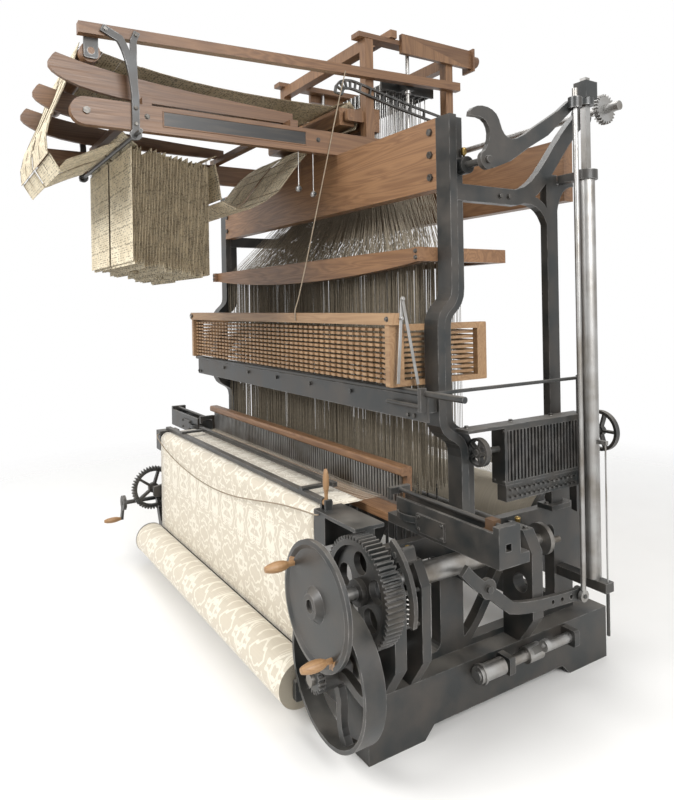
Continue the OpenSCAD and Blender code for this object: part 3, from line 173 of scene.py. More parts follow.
feed(casting_marks, marks_out["Skin"], clouds(casting_marks, spot, scale=210, detail=2))


def painted_iron(name, first, second, dustiness):
    material, tree, shader = new_material(name)
    marks = place_group(tree, casting_marks, object_coordinates(tree))
    body = mix_colour(tree, fit_range(tree, marks["Mottle"], 0.35, 0.7), first, second)
    worn = mix_colour(tree, calculate(tree, "MULTIPLY", marks["Edge"], 0.85), body, bare_iron)
    dusty = mix_colour(tree, calculate(tree, "MULTIPLY", marks["Ledge"], dustiness), worn, lint)
    feed(tree, shader.inputs["Base Color"], dusty)
    gloss = fit_range(tree, marks["Mottle"], 0.3, 0.7, to_low=0.30, to_high=0.46)
    feed(tree, shader.inputs["Roughness"], calculate(tree, "MULTIPLY_ADD", marks["Ledge"], 0.30, gloss))
    feed(tree, shader.inputs["Metallic"], calculate(tree, "MULTIPLY", marks["Edge"], 0.8))
    raise_surface(tree, shader, marks["Skin"], strength=0.22, distance=casting_skin_depth)
    return material


def dress(material, *names):
    for name in names:
        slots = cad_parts[name].data.materials
        slots.clear()
        slots.append(material)


black_castings = painted_iron("black_castings", cast_black, cast_brown, dustiness=0.55)
dress(black_castings, "right_side_frame", "left_side_frame", "right_gallery_frame", "left_gallery_frame",
    "cross_ties", "guard_board", "cloth_bars", "card_hangers", "pattern_box", "shaft_stands", "left_brackets",
    "main_gear", "hand_wheel", "drive_pulley", "slay_swords", "shuttle_boxes", "upper_lever", "treadle_lever",
    "griffe", "pattern_wheels", "left_crank", "take_up_wheel", "brake_lever", "lingoes")

# Turned shafts and bright rods: mild steel, left unpainted and oiled, with fine lathe rings
# round each shaft or draw lines along each rod.
bright_steel = (0.36, 0.355, 0.345, 1)
oiled_steel = (0.19, 0.17, 0.145, 1)


def turned_steel(name, ring_scale, bright=bright_steel, oiled=oiled_steel):
    material, tree, shader = new_material(name)
    vector = object_coordinates(tree)
    rings = clouds(tree, mapped(tree, vector, "Scale", ring_scale), scale=1.0, detail=2)
    film = fit_range(tree, clouds(tree, vector, scale=7, detail=4), 0.42, 0.72)
    feed(tree, shader.inputs["Base Color"], mix_colour(tree, film, bright, oiled))
    feed(tree, shader.inputs["Metallic"], 1.0)
    feed(tree, shader.inputs["Roughness"], fit_range(tree, rings, 0.3, 0.7, to_low=0.32, to_high=0.54))
    raise_surface(tree, shader, rings, strength=0.10, distance=0.0005)
    return material


steel_along_x = turned_steel("turned_steel_across", (420, 6, 6))
steel_along_y = turned_steel("turned_steel_front_to_back", (6, 420, 6))
steel_upright = turned_steel("drawn_steel_upright", (300, 300, 5))
dress(steel_along_x, "back_rest", "top_cross_shaft")
dress(steel_along_y, "main_shaft", "pulley_shaft", "picking_shaft")
dress(steel_upright, "hooks", "springs", "lift_tube", "lift_rod", "reed")

# Timber: beams, card timbers, machine frame, slay boards and laths of oiled hardwood.
# The planks are sawn along the grain, planed and bolted, and darken where hands and oil touch.
beam_shades = (0.30, 0.165, 0.080, 1), (0.13, 0.062, 0.030, 1)
card_timber_shades = (0.25, 0.135, 0.066, 1), (0.105, 0.050, 0.025, 1)
machine_shades = (0.27, 0.15, 0.074, 1), (0.12, 0.058, 0.028, 1)
lath_shades = (0.42, 0.27, 0.145, 1), (0.22, 0.12, 0.058, 1)
across = (0, 0, 0)
front_to_back = (0, 0, math.radians(90))
upright = (0, math.radians(90), 0)

plank_grain, plank_at, plank_out = new_group("plank_grain", ("Ring", "Fibre", "Stain"))
year_rings = clouds(plank_grain, plank_at, scale=1.0, detail=2, distortion=1.4)
banding = calculate(plank_grain, "FRACT", calculate(plank_grain, "MULTIPLY", year_rings, 9.0))
feed(plank_grain, plank_out["Ring"], calculate(plank_grain, "PINGPONG", banding, 0.5))
fibre_at = mapped(plank_grain, plank_at, "Scale", (1.5, 14, 14))
feed(plank_grain, plank_out["Fibre"], clouds(plank_grain, fibre_at, scale=3.0, detail=3))
feed(plank_grain, plank_out["Stain"], clouds(plank_grain, plank_at, scale=0.35, detail=4))


def oiled_timber(name, grain_turn, shades):
    material, tree, shader = new_material(name)
    pale, dark = shades
    stained = (dark[0] * 0.5, dark[1] * 0.5, dark[2] * 0.5, 1)
    turned = mapped(tree, object_coordinates(tree), "Rotation", grain_turn)
    grain = place_group(tree, plank_grain, mapped(tree, turned, "Scale", (0.9, 11, 11)))
    figure = calculate(tree, "MULTIPLY_ADD", grain["Fibre"], 0.55, grain["Ring"])
    stain = fit_range(tree, grain["Stain"], 0.40, 0.70, to_low=0.0, to_high=0.45)
    colour = mix_colour(tree, stain, mix_colour(tree, figure, pale, dark), stained)
    feed(tree, shader.inputs["Base Color"], colour)
    oiled = fit_range(tree, grain["Fibre"], 0.3, 0.7, to_low=0.34, to_high=0.52)
    feed(tree, shader.inputs["Roughness"], oiled)
    raise_surface(tree, shader, grain["Fibre"], strength=0.25, distance=0.0008)
    return material


beam_timber = oiled_timber("beam_timber", across, beam_shades)
card_timber = oiled_timber("card_timber", front_to_back, card_timber_shades)
machine_timber = oiled_timber("machine_timber", upright, machine_shades)
lath_timber = oiled_timber("lath_timber", across, lath_shades)
dress(beam_timber, "front_top_beam", "rear_top_beam", "comber_frame", "breast_beam", "race_board",
    "hand_rail", "needle_box", "card_cylinder", "top_roller")
dress(card_timber, "card_timbers", "card_guides")
dress(machine_timber, "machine_frame")
dress(lath_timber, "lath_rack")

# Pattern machine frame: the sills and side planks run front to back, one bar lies across the top,
# and the griffe slides on two bright steel guide rods between the posts.
sill_top = 2.400
rail_top = 2.960
plank_foot = rail_top - 0.046
plank_front = 0.571
cross_bar_low = rail_top + 0.026
cross_bar_y = (0.129, 0.171)
guide_y = 0.275
guide_reach = 0.440
guide_collar = 0.019
guide_foot = 2.412


def centre(name):
    low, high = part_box(name)
    return [(a + b) / 2 for a, b in zip(low, high)]


machine_x = centre("machine_frame")[0]


def dress_faces(name, material, chosen):
    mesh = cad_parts[name].data
    mesh.materials.append(material)
    for face in mesh.polygons:
        if chosen(face.center):
            face.material_index = len(mesh.materials) - 1


def on_side_plank(at):
    return at.z > plank_foot and (at.z > rail_top + 0.001 or at.y > plank_front)


def on_cross_bar(at):
    return at.z > cross_bar_low and cross_bar_y[0] < at.y < cross_bar_y[1]


def on_guide_rod(at):
    return (abs(at.y - guide_y) < guide_collar and guide_foot < at.z < rail_top - 0.0001
        and abs(abs(at.x - machine_x) - guide_reach) < guide_collar)


dress_faces("machine_frame", card_timber, lambda at: on_side_plank(at) or at.z < sill_top + 0.0001)
dress_faces("machine_frame", beam_timber, on_cross_bar)
dress_faces("machine_frame", steel_upright, on_guide_rod)

# Hand grips: turned beech on the hand wheel, the crank and the start handle. Each is a loose
# sleeve on an iron pin, and is polished by use.
grip_shades = (0.45, 0.27, 0.13, 1), (0.26, 0.14, 0.06, 1)
wheel_x, _, wheel_z = centre("main_gear")
grip_reach = 0.172
grip_radius = 0.026
grip_angles = (147, 306)
wheel_face = -0.8605
crank_face = -0.8866
crank_grip_top = 0.30
grip_timber = oiled_timber("grip_timber", front_to_back, grip_shades)
dress(oiled_timber("start_grip", upright, grip_shades), "start_handle")


def on_wheel_grip(at):
    away = [math.hypot(at.x - wheel_x - grip_reach * math.cos(math.radians(angle)),
        at.z - wheel_z - grip_reach * math.sin(math.radians(angle))) for angle in grip_angles]
    return at.y < wheel_face and min(away) < grip_radius


dress_faces("hand_wheel", grip_timber, on_wheel_grip)
dress_faces("left_crank", grip_timber, lambda at: at.y < crank_face and at.z < crank_grip_top)

# Lift tube: a bright tube with a cast foot, a cast clamp on the square bar at its head and a
# cast collar where the gallery's arm holds it. The castings are painted like the frame.
tube_x = 1.260
tube_y = 0.440
tube_radius = 0.0345
tube_foot_top = 0.4301
clamp_z = (2.4205, 2.5225)
collar_z = (2.109, 2.151)


def on_tube_casting(at):
    outside = math.hypot(at.x - tube_x, at.y - tube_y) > tube_radius
    return (at.z < tube_foot_top or clamp_z[0] < at.z < clamp_z[1]
        or collar_z[0] < at.z < collar_z[1] and outside)


dress_faces("lift_tube", black_castings, on_tube_casting)

# Ball wires: two drawn steel wires with turned ball weights, hooked under the near card timber
# beside the card hangers.
wire_x = 0.320
wire_y = (-0.47, -0.31)
wire_top = 2.331
ball_radius = 0.012
dress_faces("card_hangers", steel_upright, lambda at: abs(at.x - wire_x) < ball_radius
    and wire_y[0] < at.y < wire_y[1] and at.z < wire_top)

# Picker: a block of raw hide, pressed in layers, drilled for its spindle and darkened with oil.
# It slides along the shuttle box to throw the shuttle.
hide_shades = (0.115, 0.062, 0.028, 1), (0.05, 0.027, 0.014, 1)
hide, hide_tree, hide_shader = new_material("raw_hide")
hide_spot = object_coordinates(hide_tree)
hide_patches = clouds(hide_tree, hide_spot, scale=30, detail=5)
feed(hide_tree, hide_shader.inputs["Base Color"], mix_colour(hide_tree, hide_patches, *hide_shades))
feed(hide_tree, hide_shader.inputs["Roughness"], 0.55)
hide_grain = clouds(hide_tree, hide_spot, scale=420, detail=3)
raise_surface(hide_tree, hide_shader, hide_grain, strength=0.35, distance=0.0008)
dress(hide, "picker")

# Bolts: forged hexagon heads on washers, drawn up at the joints of the castings, the shuttle
# boxes and the card timbers, and left oiled.
random.seed(3)
bolt_shades = (0.125, 0.120, 0.112, 1), (0.055, 0.049, 0.042, 1)
up = (0, 0, 1)
forward = (0, -1, 0)
outward = (1, 0, 0)
gallery_feet = [(x, y, 0.722) for x, y in ((1.084, -0.085), (1.136, -0.085), (1.110, 0.333), (1.110, 0.427))]
comber_ends = ((1.050, -0.320, 1.780), (1.050, -0.320, 1.805))
rack_ends = ((1.057, -0.470, 1.5425),)
guard_ends = ((1.092, -0.402, 1.182), (1.130, -0.402, 1.182))
gallery_arms = ((1.128, 0.065, 2.035), (1.128, 0.115, 2.035))
hanger_feet = [(0.524, y, z) for y, z in ((-1.200, 2.352), (-1.200, 2.416), (-1.316, 2.716), (-1.195, 2.715))]
card_timber_ends = ((0.510, -1.150, 2.392), (0.510, -0.330, 2.392))
box_fronts = [(x, -0.453, z) for z in (0.790, 0.834) for x in (1.202, 1.328)]
bearing_caps = [(x, y, 0.680) for y in (-0.575, -0.460, 0.110) for x in (1.112, 1.190)]
pattern_box_top = [(1.168, y, 1.117) for y in (-0.180, 0.060, 0.300)]
pattern_box_front = [(x, -0.030, z) for x in (1.160, 1.212) for z in (0.893, 1.092)]
oiled_bolts = turned_steel("oiled_bolts", (90, 90, 90), *bolt_shades)
dress(oiled_bolts, "bolts")


def show(name, data):
    piece = bpy.data.objects.new(name, data)
    bpy.context.scene.collection.objects.link(piece)
    return piece


def show_shape(name, shape, *materials):
    mesh = bpy.data.meshes.new(name)
    shape.to_mesh(mesh)
    shape.free()
    for material in materials:
        mesh.materials.append(material)
    return show(name, mesh)


def finish_piece(name, shape, body, slot, *materials):
    bmesh.ops.recalc_face_normals(shape, faces=shape.faces)
    piece = show_shape(name, shape, *materials)
    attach(piece, body)
    return piece


def edges_of(verts):
    return list({edge for vert in verts for edge in vert.link_edges})


def round_edges(shape, verts, offset):
    bmesh.ops.bevel(shape, geom=edges_of(verts), offset=offset, segments=2, profile=0.5, affect="EDGES",
        material=-1)


def add_bolt(shape, place, facing, radius):
    aim = Vector(up).rotation_difference(Vector(facing)).to_matrix().to_4x4()
    seat = Matrix.Translation(place) @ aim @ Matrix.Rotation(random.uniform(0, math.pi / 3), 4, "Z")
    bmesh.ops.create_cone(shape, cap_ends=True, segments=20, radius1=radius * 1.30, radius2=radius * 1.22,
        depth=radius * 0.22, matrix=seat @ Matrix.Translation((0, 0, radius * 0.11)))
    head = bmesh.ops.create_cone(shape, cap_ends=True, segments=6, radius1=radius, radius2=radius,
        depth=radius * 0.7, matrix=seat @ Matrix.Translation((0, 0, radius * 0.57)))["verts"]
    round_edges(shape, head, radius * 0.12)


frame_shape = bmesh.new()
slay_shape = bmesh.new()
paired_bolts = ((frame_shape, gallery_feet, 0, up, 0.010), (frame_shape, comber_ends, 0, forward, 0.0075),
    (frame_shape, rack_ends, 0, forward, 0.008), (frame_shape, guard_ends, 0, forward, 0.008),
    (frame_shape, gallery_arms, 0, outward, 0.010), (frame_shape, hanger_feet, machine_x, outward, 0.008),
    (frame_shape, card_timber_ends, machine_x, outward, 0.009), (slay_shape, box_fronts, 0, forward, 0.0065))
for side in (-1, 1):
    for shape, places, middle, facing, radius in paired_bolts:
        for x, y, z in places:
            add_bolt(shape, (middle + side * x, y, z), (side * facing[0], facing[1], facing[2]), radius)
for places, facing, radius in ((bearing_caps, up, 0.011), (pattern_box_top, up, 0.009),
        (pattern_box_front, forward, 0.0065)):
    for place in places:
        add_bolt(frame_shape, place, facing, radius)
finish_piece("frame_bolts", frame_shape, "frame", "steel", oiled_bolts)
finish_piece("box_bolts", slay_shape, "slay", "steel", oiled_bolts)

# Oil cups: small turned brass cups with a domed lid, screwed into the bearing caps and the boss
# of the upper lever.
brass_shades = (0.42, 0.29, 0.10, 1), (0.16, 0.11, 0.05, 1)
cup_places = ((1.150, -0.575, 0.680), (1.150, -0.460, 0.680), (1.150, 0.110, 0.680), (1.140, -0.143, 2.1695))
cup_outline = ((0.0, 0.0), (0.0055, 0.0), (0.0055, 0.008), (0.0105, 0.012), (0.0115, 0.028), (0.0125, 0.029),
    (0.0125, 0.032), (0.0100, 0.036), (0.0050, 0.0385), (0.0, 0.039))
weld_distance = 0.00005
brass, brass_tree, brass_shader = new_material("dull_brass")
brass_spot = object_coordinates(brass_tree)
tarnish = fit_range(brass_tree, clouds(brass_tree, brass_spot, scale=90, detail=4), 0.4, 0.7)
fingered = clouds(brass_tree, brass_spot, scale=160, detail=3)
feed(brass_tree, brass_shader.inputs["Base Color"], mix_colour(brass_tree, tarnish, *brass_shades))
feed(brass_tree, brass_shader.inputs["Metallic"], 1.0)
feed(brass_tree, brass_shader.inputs["Roughness"],
    fit_range(brass_tree, fingered, 0.3, 0.7, to_low=0.28, to_high=0.5))
shape = bmesh.new()
for place in cup_places:
    x, y, z = place
    outline = [shape.verts.new((x + reach, y, z + height)) for reach, height in cup_outline]
    edges = [shape.edges.new(pair) for pair in zip(outline, outline[1:])]
    bmesh.ops.spin(shape, geom=outline + edges, cent=place, axis=up, dvec=(0, 0, 0), angle=math.tau, steps=20,
        use_merge=True)
bmesh.ops.remove_doubles(shape, verts=shape.verts, dist=weld_distance)
oil_cups = finish_piece("oil_cups", shape, "frame", "steel", brass)
for face in oil_cups.data.polygons:
    face.use_smooth = True

# Name board: a black panel in a narrow bead on the near card timber. It is painted deal, screwed
# to the timber's face, and its paint is rubbed in streaks along the grain.
board_shades = (0.012, 0.011, 0.010, 1), (0.060, 0.048, 0.036, 1)
timber_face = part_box("card_timbers")[1][0]
panel_y = (-1.080, -0.400)
panel_z = (2.362, 2.420)
panel_stands = 0.0015
bead_stands = 0.0040
bead_width = 0.005
black_board, board_paint, board_gloss = new_material("black_board")
streaks_at = mapped(board_paint, object_coordinates(board_paint), "Scale", (40, 4, 40))
rubbed_paint = fit_range(board_paint, clouds(board_paint, streaks_at, scale=1.0, detail=4), 0.45, 0.8)
feed(board_paint, board_gloss.inputs["Base Color"], mix_colour(board_paint, rubbed_paint, *board_shades))
feed(board_paint, board_gloss.inputs["Roughness"], 0.38)


def add_bar(shape, low, high, edge):
    bar = bmesh.ops.create_cube(shape, size=1.0)["verts"]
    bmesh.ops.scale(shape, verts=bar, vec=[b - a for a, b in zip(low, high)])
    bmesh.ops.translate(shape, verts=bar, vec=[(a + b) / 2 for a, b in zip(low, high)])
    round_edges(shape, bar, edge)


shape = bmesh.new()
panel_face = timber_face + panel_stands
add_bar(shape, (timber_face, panel_y[0], panel_z[0]), (panel_face, panel_y[1], panel_z[1]), 0.0005)
finish_piece("name_board", shape, "frame", "wood", black_board)
shape = bmesh.new()
bead_y = (panel_y[0] - bead_width, panel_y[1] + bead_width)
bead_z = (panel_z[0] - bead_width, panel_z[1] + bead_width)
for run_y, run_z in ((bead_y, (bead_z[0], panel_z[0])), (bead_y, (panel_z[1], bead_z[1])),
        ((bead_y[0], panel_y[0]), panel_z), ((panel_y[1], bead_y[1]), panel_z)):
    add_bar(shape, (timber_face, run_y[0], run_z[0]), (timber_face + bead_stands, run_y[1], run_z[1]), 0.0012)
finish_piece("name_bead", shape, "frame", "wood", card_timber)

# Rack catch and pull ring: two flat steel bars pinned at the right end of the rack hold it up,
# and a round ring hangs at its left end.
catch_head = (-0.424, 1.618)
catch_pin = (-0.429, 1.545)
catch_feet = ((1.0905, -0.447, 1.300), (1.0945, -0.356, 1.292))
catch_bar = (0.004, 0.014)
pin_radius = 0.0075
ring_at = Vector((-1.078, -0.4735, 1.5425))
ring_reach = 0.014
ring_wire = 0.0028
shape = bmesh.new()
for foot in catch_feet:
    start = Vector((foot[0], *catch_head))
    run = Vector(foot) - start
    bar = bmesh.ops.create_cube(shape, size=1.0)["verts"]
    bmesh.ops.scale(shape, verts=bar, vec=(*catch_bar, run.length))
    lean = Vector((0, 0, -1)).rotation_difference(run).to_matrix()
    bmesh.ops.rotate(shape, verts=bar, cent=(0, 0, 0), matrix=lean)
    bmesh.ops.translate(shape, verts=bar, vec=start + run / 2 + Vector((catch_bar[0] / 2, 0, 0)))
    round_edges(shape, bar, 0.0012)
for pin, (y, z) in ((1.0985, catch_head), (1.0950, catch_pin)):
    add_bolt(shape, (pin, y, z), outward, pin_radius)
ring_start = Matrix.Translation(ring_at + Vector((ring_reach, 0, 0))) @ Matrix.Rotation(math.pi, 4, "X")
section = bmesh.ops.create_circle(shape, segments=10, radius=ring_wire, matrix=ring_start)["verts"]
bmesh.ops.spin(shape, geom=section + edges_of(section), cent=ring_at, axis=(0, 1, 0), dvec=(0, 0, 0),
    angle=math.tau, steps=28, use_merge=True)
bmesh.ops.remove_doubles(shape, verts=shape.verts, dist=weld_distance)
finish_piece("rack_catch", shape, "frame", "steel", steel_upright)

# Cloth: figured linen with a mirrored leaf pattern, drawn from the fell over the breast beam
# and down to its roller. It is one thin sheet, woven here and wound below.
linen_ground = (0.56, 0.50, 0.40, 1)
linen_figure_painted_sheen = (0.74, 0.69, 0.58, 1)
linen_slub = (0.45, 0.40, 0.31, 1)
roll_end_and_painted_gap_shade = (0.22, 0.19, 0.145, 1), (0.60, 0.54, 0.43, 1)
cloth_low, cloth_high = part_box("cloth")
cloth_left = cloth_low[0]
cloth_right = cloth_high[0]
cloth_spans = 24
cloth_thickness = 0.0016
warp_line = 0.812
fell_y = -0.462
leaf_width = 0.16
leaf_height = 0.21
rib_rate = 3600.0
breast_nose = Vector((-0.645, 0.7682))
nose_radius = 0.0438
cloth_path = [Vector((fell_y - 0.0122 * i, warp_line)) for i in range(15)]
cloth_path += [breast_nose + nose_radius * Vector((math.cos(a), math.sin(a)))
    for a in (math.radians(90 + 9 * i) for i in range(11))]
cloth_path += [breast_nose + Vector((-nose_radius, -0.0270 * i)) for i in range(1, 21)]

leaf_figure, leaf_at, leaf_out = new_group("leaf_figure", ("Figure", "Weave"))
leaf_axes = split_axes(leaf_figure, leaf_at)
folded = leaf_figure.nodes.new("ShaderNodeCombineXYZ")
feed(leaf_figure, folded.inputs["X"], calculate(leaf_figure, "PINGPONG", leaf_axes["X"], leaf_width))
feed(leaf_figure, folded.inputs["Y"], calculate(leaf_figure, "PINGPONG", leaf_axes["Y"], leaf_height))
scroll = clouds(leaf_figure, folded.outputs["Vector"], scale=9.5, detail=1.0, distortion=2.6)
leaf_edge = calculate(leaf_figure, "ABSOLUTE", calculate(leaf_figure, "SUBTRACT", scroll, 0.5))
feed(leaf_figure, leaf_out["Figure"], fit_range(leaf_figure, leaf_edge, 0.050, 0.062))
warp_ribs = calculate(leaf_figure, "SINE", calculate(leaf_figure, "MULTIPLY", leaf_axes["X"], rib_rate))
weft_ribs = calculate(leaf_figure, "SINE", calculate(leaf_figure, "MULTIPLY", leaf_axes["Y"], rib_rate))
feed(leaf_figure, leaf_out["Weave"], calculate(leaf_figure, "MULTIPLY", warp_ribs, weft_ribs))


def figured_linen(name, on_roll):
    material, tree, shader = new_material(name)
    coordinates = tree.nodes.new("ShaderNodeTexCoord").outputs
    vector = coordinates["UV"]
    if on_roll:
        vector = mapped(tree, coordinates["Object"], "Rotation", (math.radians(-90), 0, 0))
    figure = place_group(tree, leaf_figure, vector)
    slub_rows = clouds(tree, mapped(tree, vector, "Scale", (8, 260, 1)), scale=1.0, detail=2)
    slubs = fit_range(tree, slub_rows, 0.35, 0.7, to_low=0.0, to_high=0.25)
    # The leaf figure is woven into the linen. Its lighter colour is painted sheen, the gloss a damask figure
    # shows; its lower roughness there is real.
    woven = mix_colour(tree, figure["Figure"], linen_figure_painted_sheen, linen_ground)
    feed(tree, shader.inputs["Base Color"], mix_colour(tree, slubs, woven, linen_slub))
    gloss = fit_range(tree, figure["Figure"], 0.0, 1.0, to_low=0.50, to_high=0.82)
    feed(tree, shader.inputs["Roughness"], gloss)
    feed(tree, shader.inputs["Sheen Weight"], 0.25)
    relief = calculate(tree, "MULTIPLY_ADD", figure["Weave"], 0.2, figure["Figure"])
    raise_surface(tree, shader, relief, strength=0.25, distance=0.0006)
    return material


def stepped_verts(made):
    return [part for part in made if isinstance(part, bmesh.types.BMVert)]


def sheet_along(name, path, left, right, spans, material):
    shape = bmesh.new()
    row = [shape.verts.new((left, point.x, point.y)) for point in path]
    edges = [shape.edges.new(pair) for pair in zip(row, row[1:])]
    for _ in range(spans):
        made = bmesh.ops.extrude_edge_only(shape, edges=edges)["geom"]
        bmesh.ops.translate(shape, verts=stepped_verts(made), vec=((right - left) / spans, 0, 0))
        edges = [part for part in made if isinstance(part, bmesh.types.BMEdge)
            and abs(part.verts[0].co.x - part.verts[1].co.x) < 1e-6]
    bmesh.ops.recalc_face_normals(shape, faces=shape.faces)
    along = [0.0]
    for first, second in zip(path, path[1:]):
        along.append(along[-1] + (second - first).length)
    uv = shape.loops.layers.uv.new("UVMap")
    for face in shape.faces:
        for corner in face.loops:
            place = Vector((corner.vert.co.y, corner.vert.co.z))
            step = min(range(len(path)), key=lambda i: (path[i] - place).length)
            corner[uv].uv = (corner.vert.co.x, along[step])
        face.smooth = True
    return show_shape(name, shape, material), along[-1]


linen_cloth = figured_linen("linen_cloth", on_roll=False)
cloth_sheet, cloth_length = sheet_along("cloth_sheet", cloth_path, cloth_left, cloth_right, cloth_spans,
    linen_cloth)
cloth_wall = cloth_sheet.modifiers.new("thickness", "SOLIDIFY")
cloth_wall.thickness = cloth_thickness
cloth_wall.offset = 0
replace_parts(cloth_sheet, "cloth")
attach(cloth_sheet, "frame")

# Cloth roller: the finished linen wound on a steel roller, with the edges of its turns showing
# at both ends and bright journals beyond them.
turn_rate = 1900.0
end_gap = 0.0001
_, roller_y, roller_z = centre("cloth_roller")
dress(figured_linen("linen_roll", on_roll=True), "cloth_roller")
dress_faces("cloth_roller", steel_along_x,
    lambda at: at.x < cloth_left - end_gap or at.x > cloth_right + end_gap)
roll_end, end_tree, end_shader = new_material("rolled_selvedge")
end_axes = split_axes(end_tree, object_coordinates(end_tree))
from_middle_y = calculate(end_tree, "SUBTRACT", end_axes["Y"], roller_y)
from_middle_z = calculate(end_tree, "SUBTRACT", end_axes["Z"], roller_z)
end_reach = calculate(end_tree, "SQRT", calculate(end_tree, "ADD",
    calculate(end_tree, "POWER", from_middle_y, 2.0), calculate(end_tree, "POWER", from_middle_z, 2.0)))
# The darker ring between each turn is painted shade, the shade in the narrow gap between one turn and the
# next.
turns_seen = calculate(end_tree, "SINE", calculate(end_tree, "MULTIPLY", end_reach, turn_rate))
layered = mix_colour(end_tree, fit_range(end_tree, turns_seen, -0.6, 0.9), *roll_end_and_painted_gap_shade)
feed(end_tree, end_shader.inputs["Base Color"], layered)
feed(end_tree, end_shader.inputs["Roughness"], 0.85)
raise_surface(end_tree, end_shader, turns_seen, strength=0.5, distance=0.001)
dress_faces("cloth_roller", roll_end,
    lambda at: min(abs(at.x - cloth_left), abs(at.x - cloth_right)) < end_gap)

# Warp: sized linen threads from the beam over the back rest, through the harness and between
# the dents of the reed to the fell, parted into two sheds by the harness.
yarn_pale = (0.66, 0.60, 0.49, 1)
yarn_dark = (0.40, 0.35, 0.27, 1)
yarn_radius = 0.0009
reed_gaps = 96
reed_low, reed_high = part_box("reed")
reed_step = (reed_high[0] - reed_low[0]) / reed_gaps
thread_apart = 0.0024
warp_edges = (-1.016, 0.855)
shed_y = -0.120
shed_lift = 0.016
behind_rest = ((0.783, 0.6145), (0.642, 0.785), (0.624, 0.806), (0.600, warp_line))


def spun_thread(name, pale, dark):
    material, tree, shader = new_material(name)
    vector = object_coordinates(tree)
    stained = clouds(tree, vector, scale=60, detail=2)
    feed(tree, shader.inputs["Base Color"], mix_colour(tree, stained, pale, dark))
    twist = clouds(tree, vector, scale=240, detail=2)
    feed(tree, shader.inputs["Roughness"], fit_range(tree, twist, 0.3, 0.7, to_low=0.65, to_high=0.9))
    return material


def add_strand(shape, points, radius, sides=3):
    heading = (points[1] - points[0]).normalized()
    aim = Vector(up).rotation_difference(heading).to_matrix().to_4x4()
    ring = bmesh.ops.create_circle(shape, segments=sides, radius=radius,
        matrix=Matrix.Translation(points[0]) @ aim)["verts"]
    edges = edges_of(ring)
    for first, second in zip(points, points[1:]):
        made = bmesh.ops.extrude_edge_only(shape, edges=edges)["geom"]
        ends = set(stepped_verts(made))
        bmesh.ops.translate(shape, verts=list(ends), vec=second - first)
        edges = [part for part in made if isinstance(part, bmesh.types.BMEdge)
            and part.verts[0] in ends and part.verts[1] in ends]


def finish_strands(name, shape, slot, material):
    bmesh.ops.holes_fill(shape, edges=shape.edges, sides=8)
    return finish_piece(name, shape, "frame", slot, material)


shape = bmesh.new()
for gap in range(reed_gaps):
    for shed in (-1, 1):
        x = reed_low[0] + (gap + 0.5) * reed_step + shed * thread_apart
        if warp_edges[0] < x < warp_edges[1]:
            route = (*behind_rest, (shed_y, warp_line + shed * shed_lift), (fell_y, warp_line))
            add_strand(shape, [Vector((x, y, z)) for y, z in route], yarn_radius)
warp_threads = finish_strands("warp_threads", shape, "yarn", spun_thread("sized_yarn", yarn_pale, yarn_dark))
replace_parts(warp_threads, "warp_sheet")

# Warp beam: sized yarn wound hard between two iron flanges, on a journal at each end that turns
# in the side frames.
_, beam_y, beam_z = centre("warp_beam")
wound_reach = (0.155, 0.166)
flange_faces = (-1.0219, 0.8899)
wound_yarn, wound_tree, wound_shader = new_material("wound_yarn")
wound_at = mapped(wound_tree, object_coordinates(wound_tree), "Scale", (520, 5, 5))
wound_turns = clouds(wound_tree, wound_at, scale=1.0, detail=2)
feed(wound_tree, wound_shader.inputs["Base Color"], mix_colour(wound_tree, wound_turns, yarn_dark, yarn_pale))
feed(wound_tree, wound_shader.inputs["Roughness"], 0.8)
raise_surface(wound_tree, wound_shader, wound_turns, strength=0.5, distance=0.001)
dress(black_castings, "warp_beam")
dress_faces("warp_beam", wound_yarn, lambda at: flange_faces[0] < at.x < flange_faces[1]
    and wound_reach[0] < math.hypot(at.y - beam_y, at.z - beam_z) < wound_reach[1])

# Harness cords: waxed linen, knotted to the machine's hooks, fanned to the comber board and
# hung in seven rows down to the warp, each with a weight below it.
cord_pale = (0.34, 0.29, 0.21, 1)
cord_dark = (0.085, 0.068, 0.048, 1)
cord_radius = 0.0013
harness_low, harness_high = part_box("harness_lower")
fan_rows, fan_columns = 12, 104
fan_width = 0.74
fan_y = (0.155, 0.465)
hook_foot = 2.3995
knot_z = 2.330
board_y = (-0.24, 0.0)
board_top = 1.8005
board_foot = 1.7835
spread = 1.94
spread_inset = 0.02
hung_rows, hung_columns = 7, 230
hung_y = (-0.237, -0.003)
hung_inset = 0.006
hung_slip = 0.006
foot_slip = 0.004
waxed_cord = spun_thread("waxed_cord", cord_pale, cord_dark)


def between(ends, part):
    return ends[0] + (ends[1] - ends[0]) * part


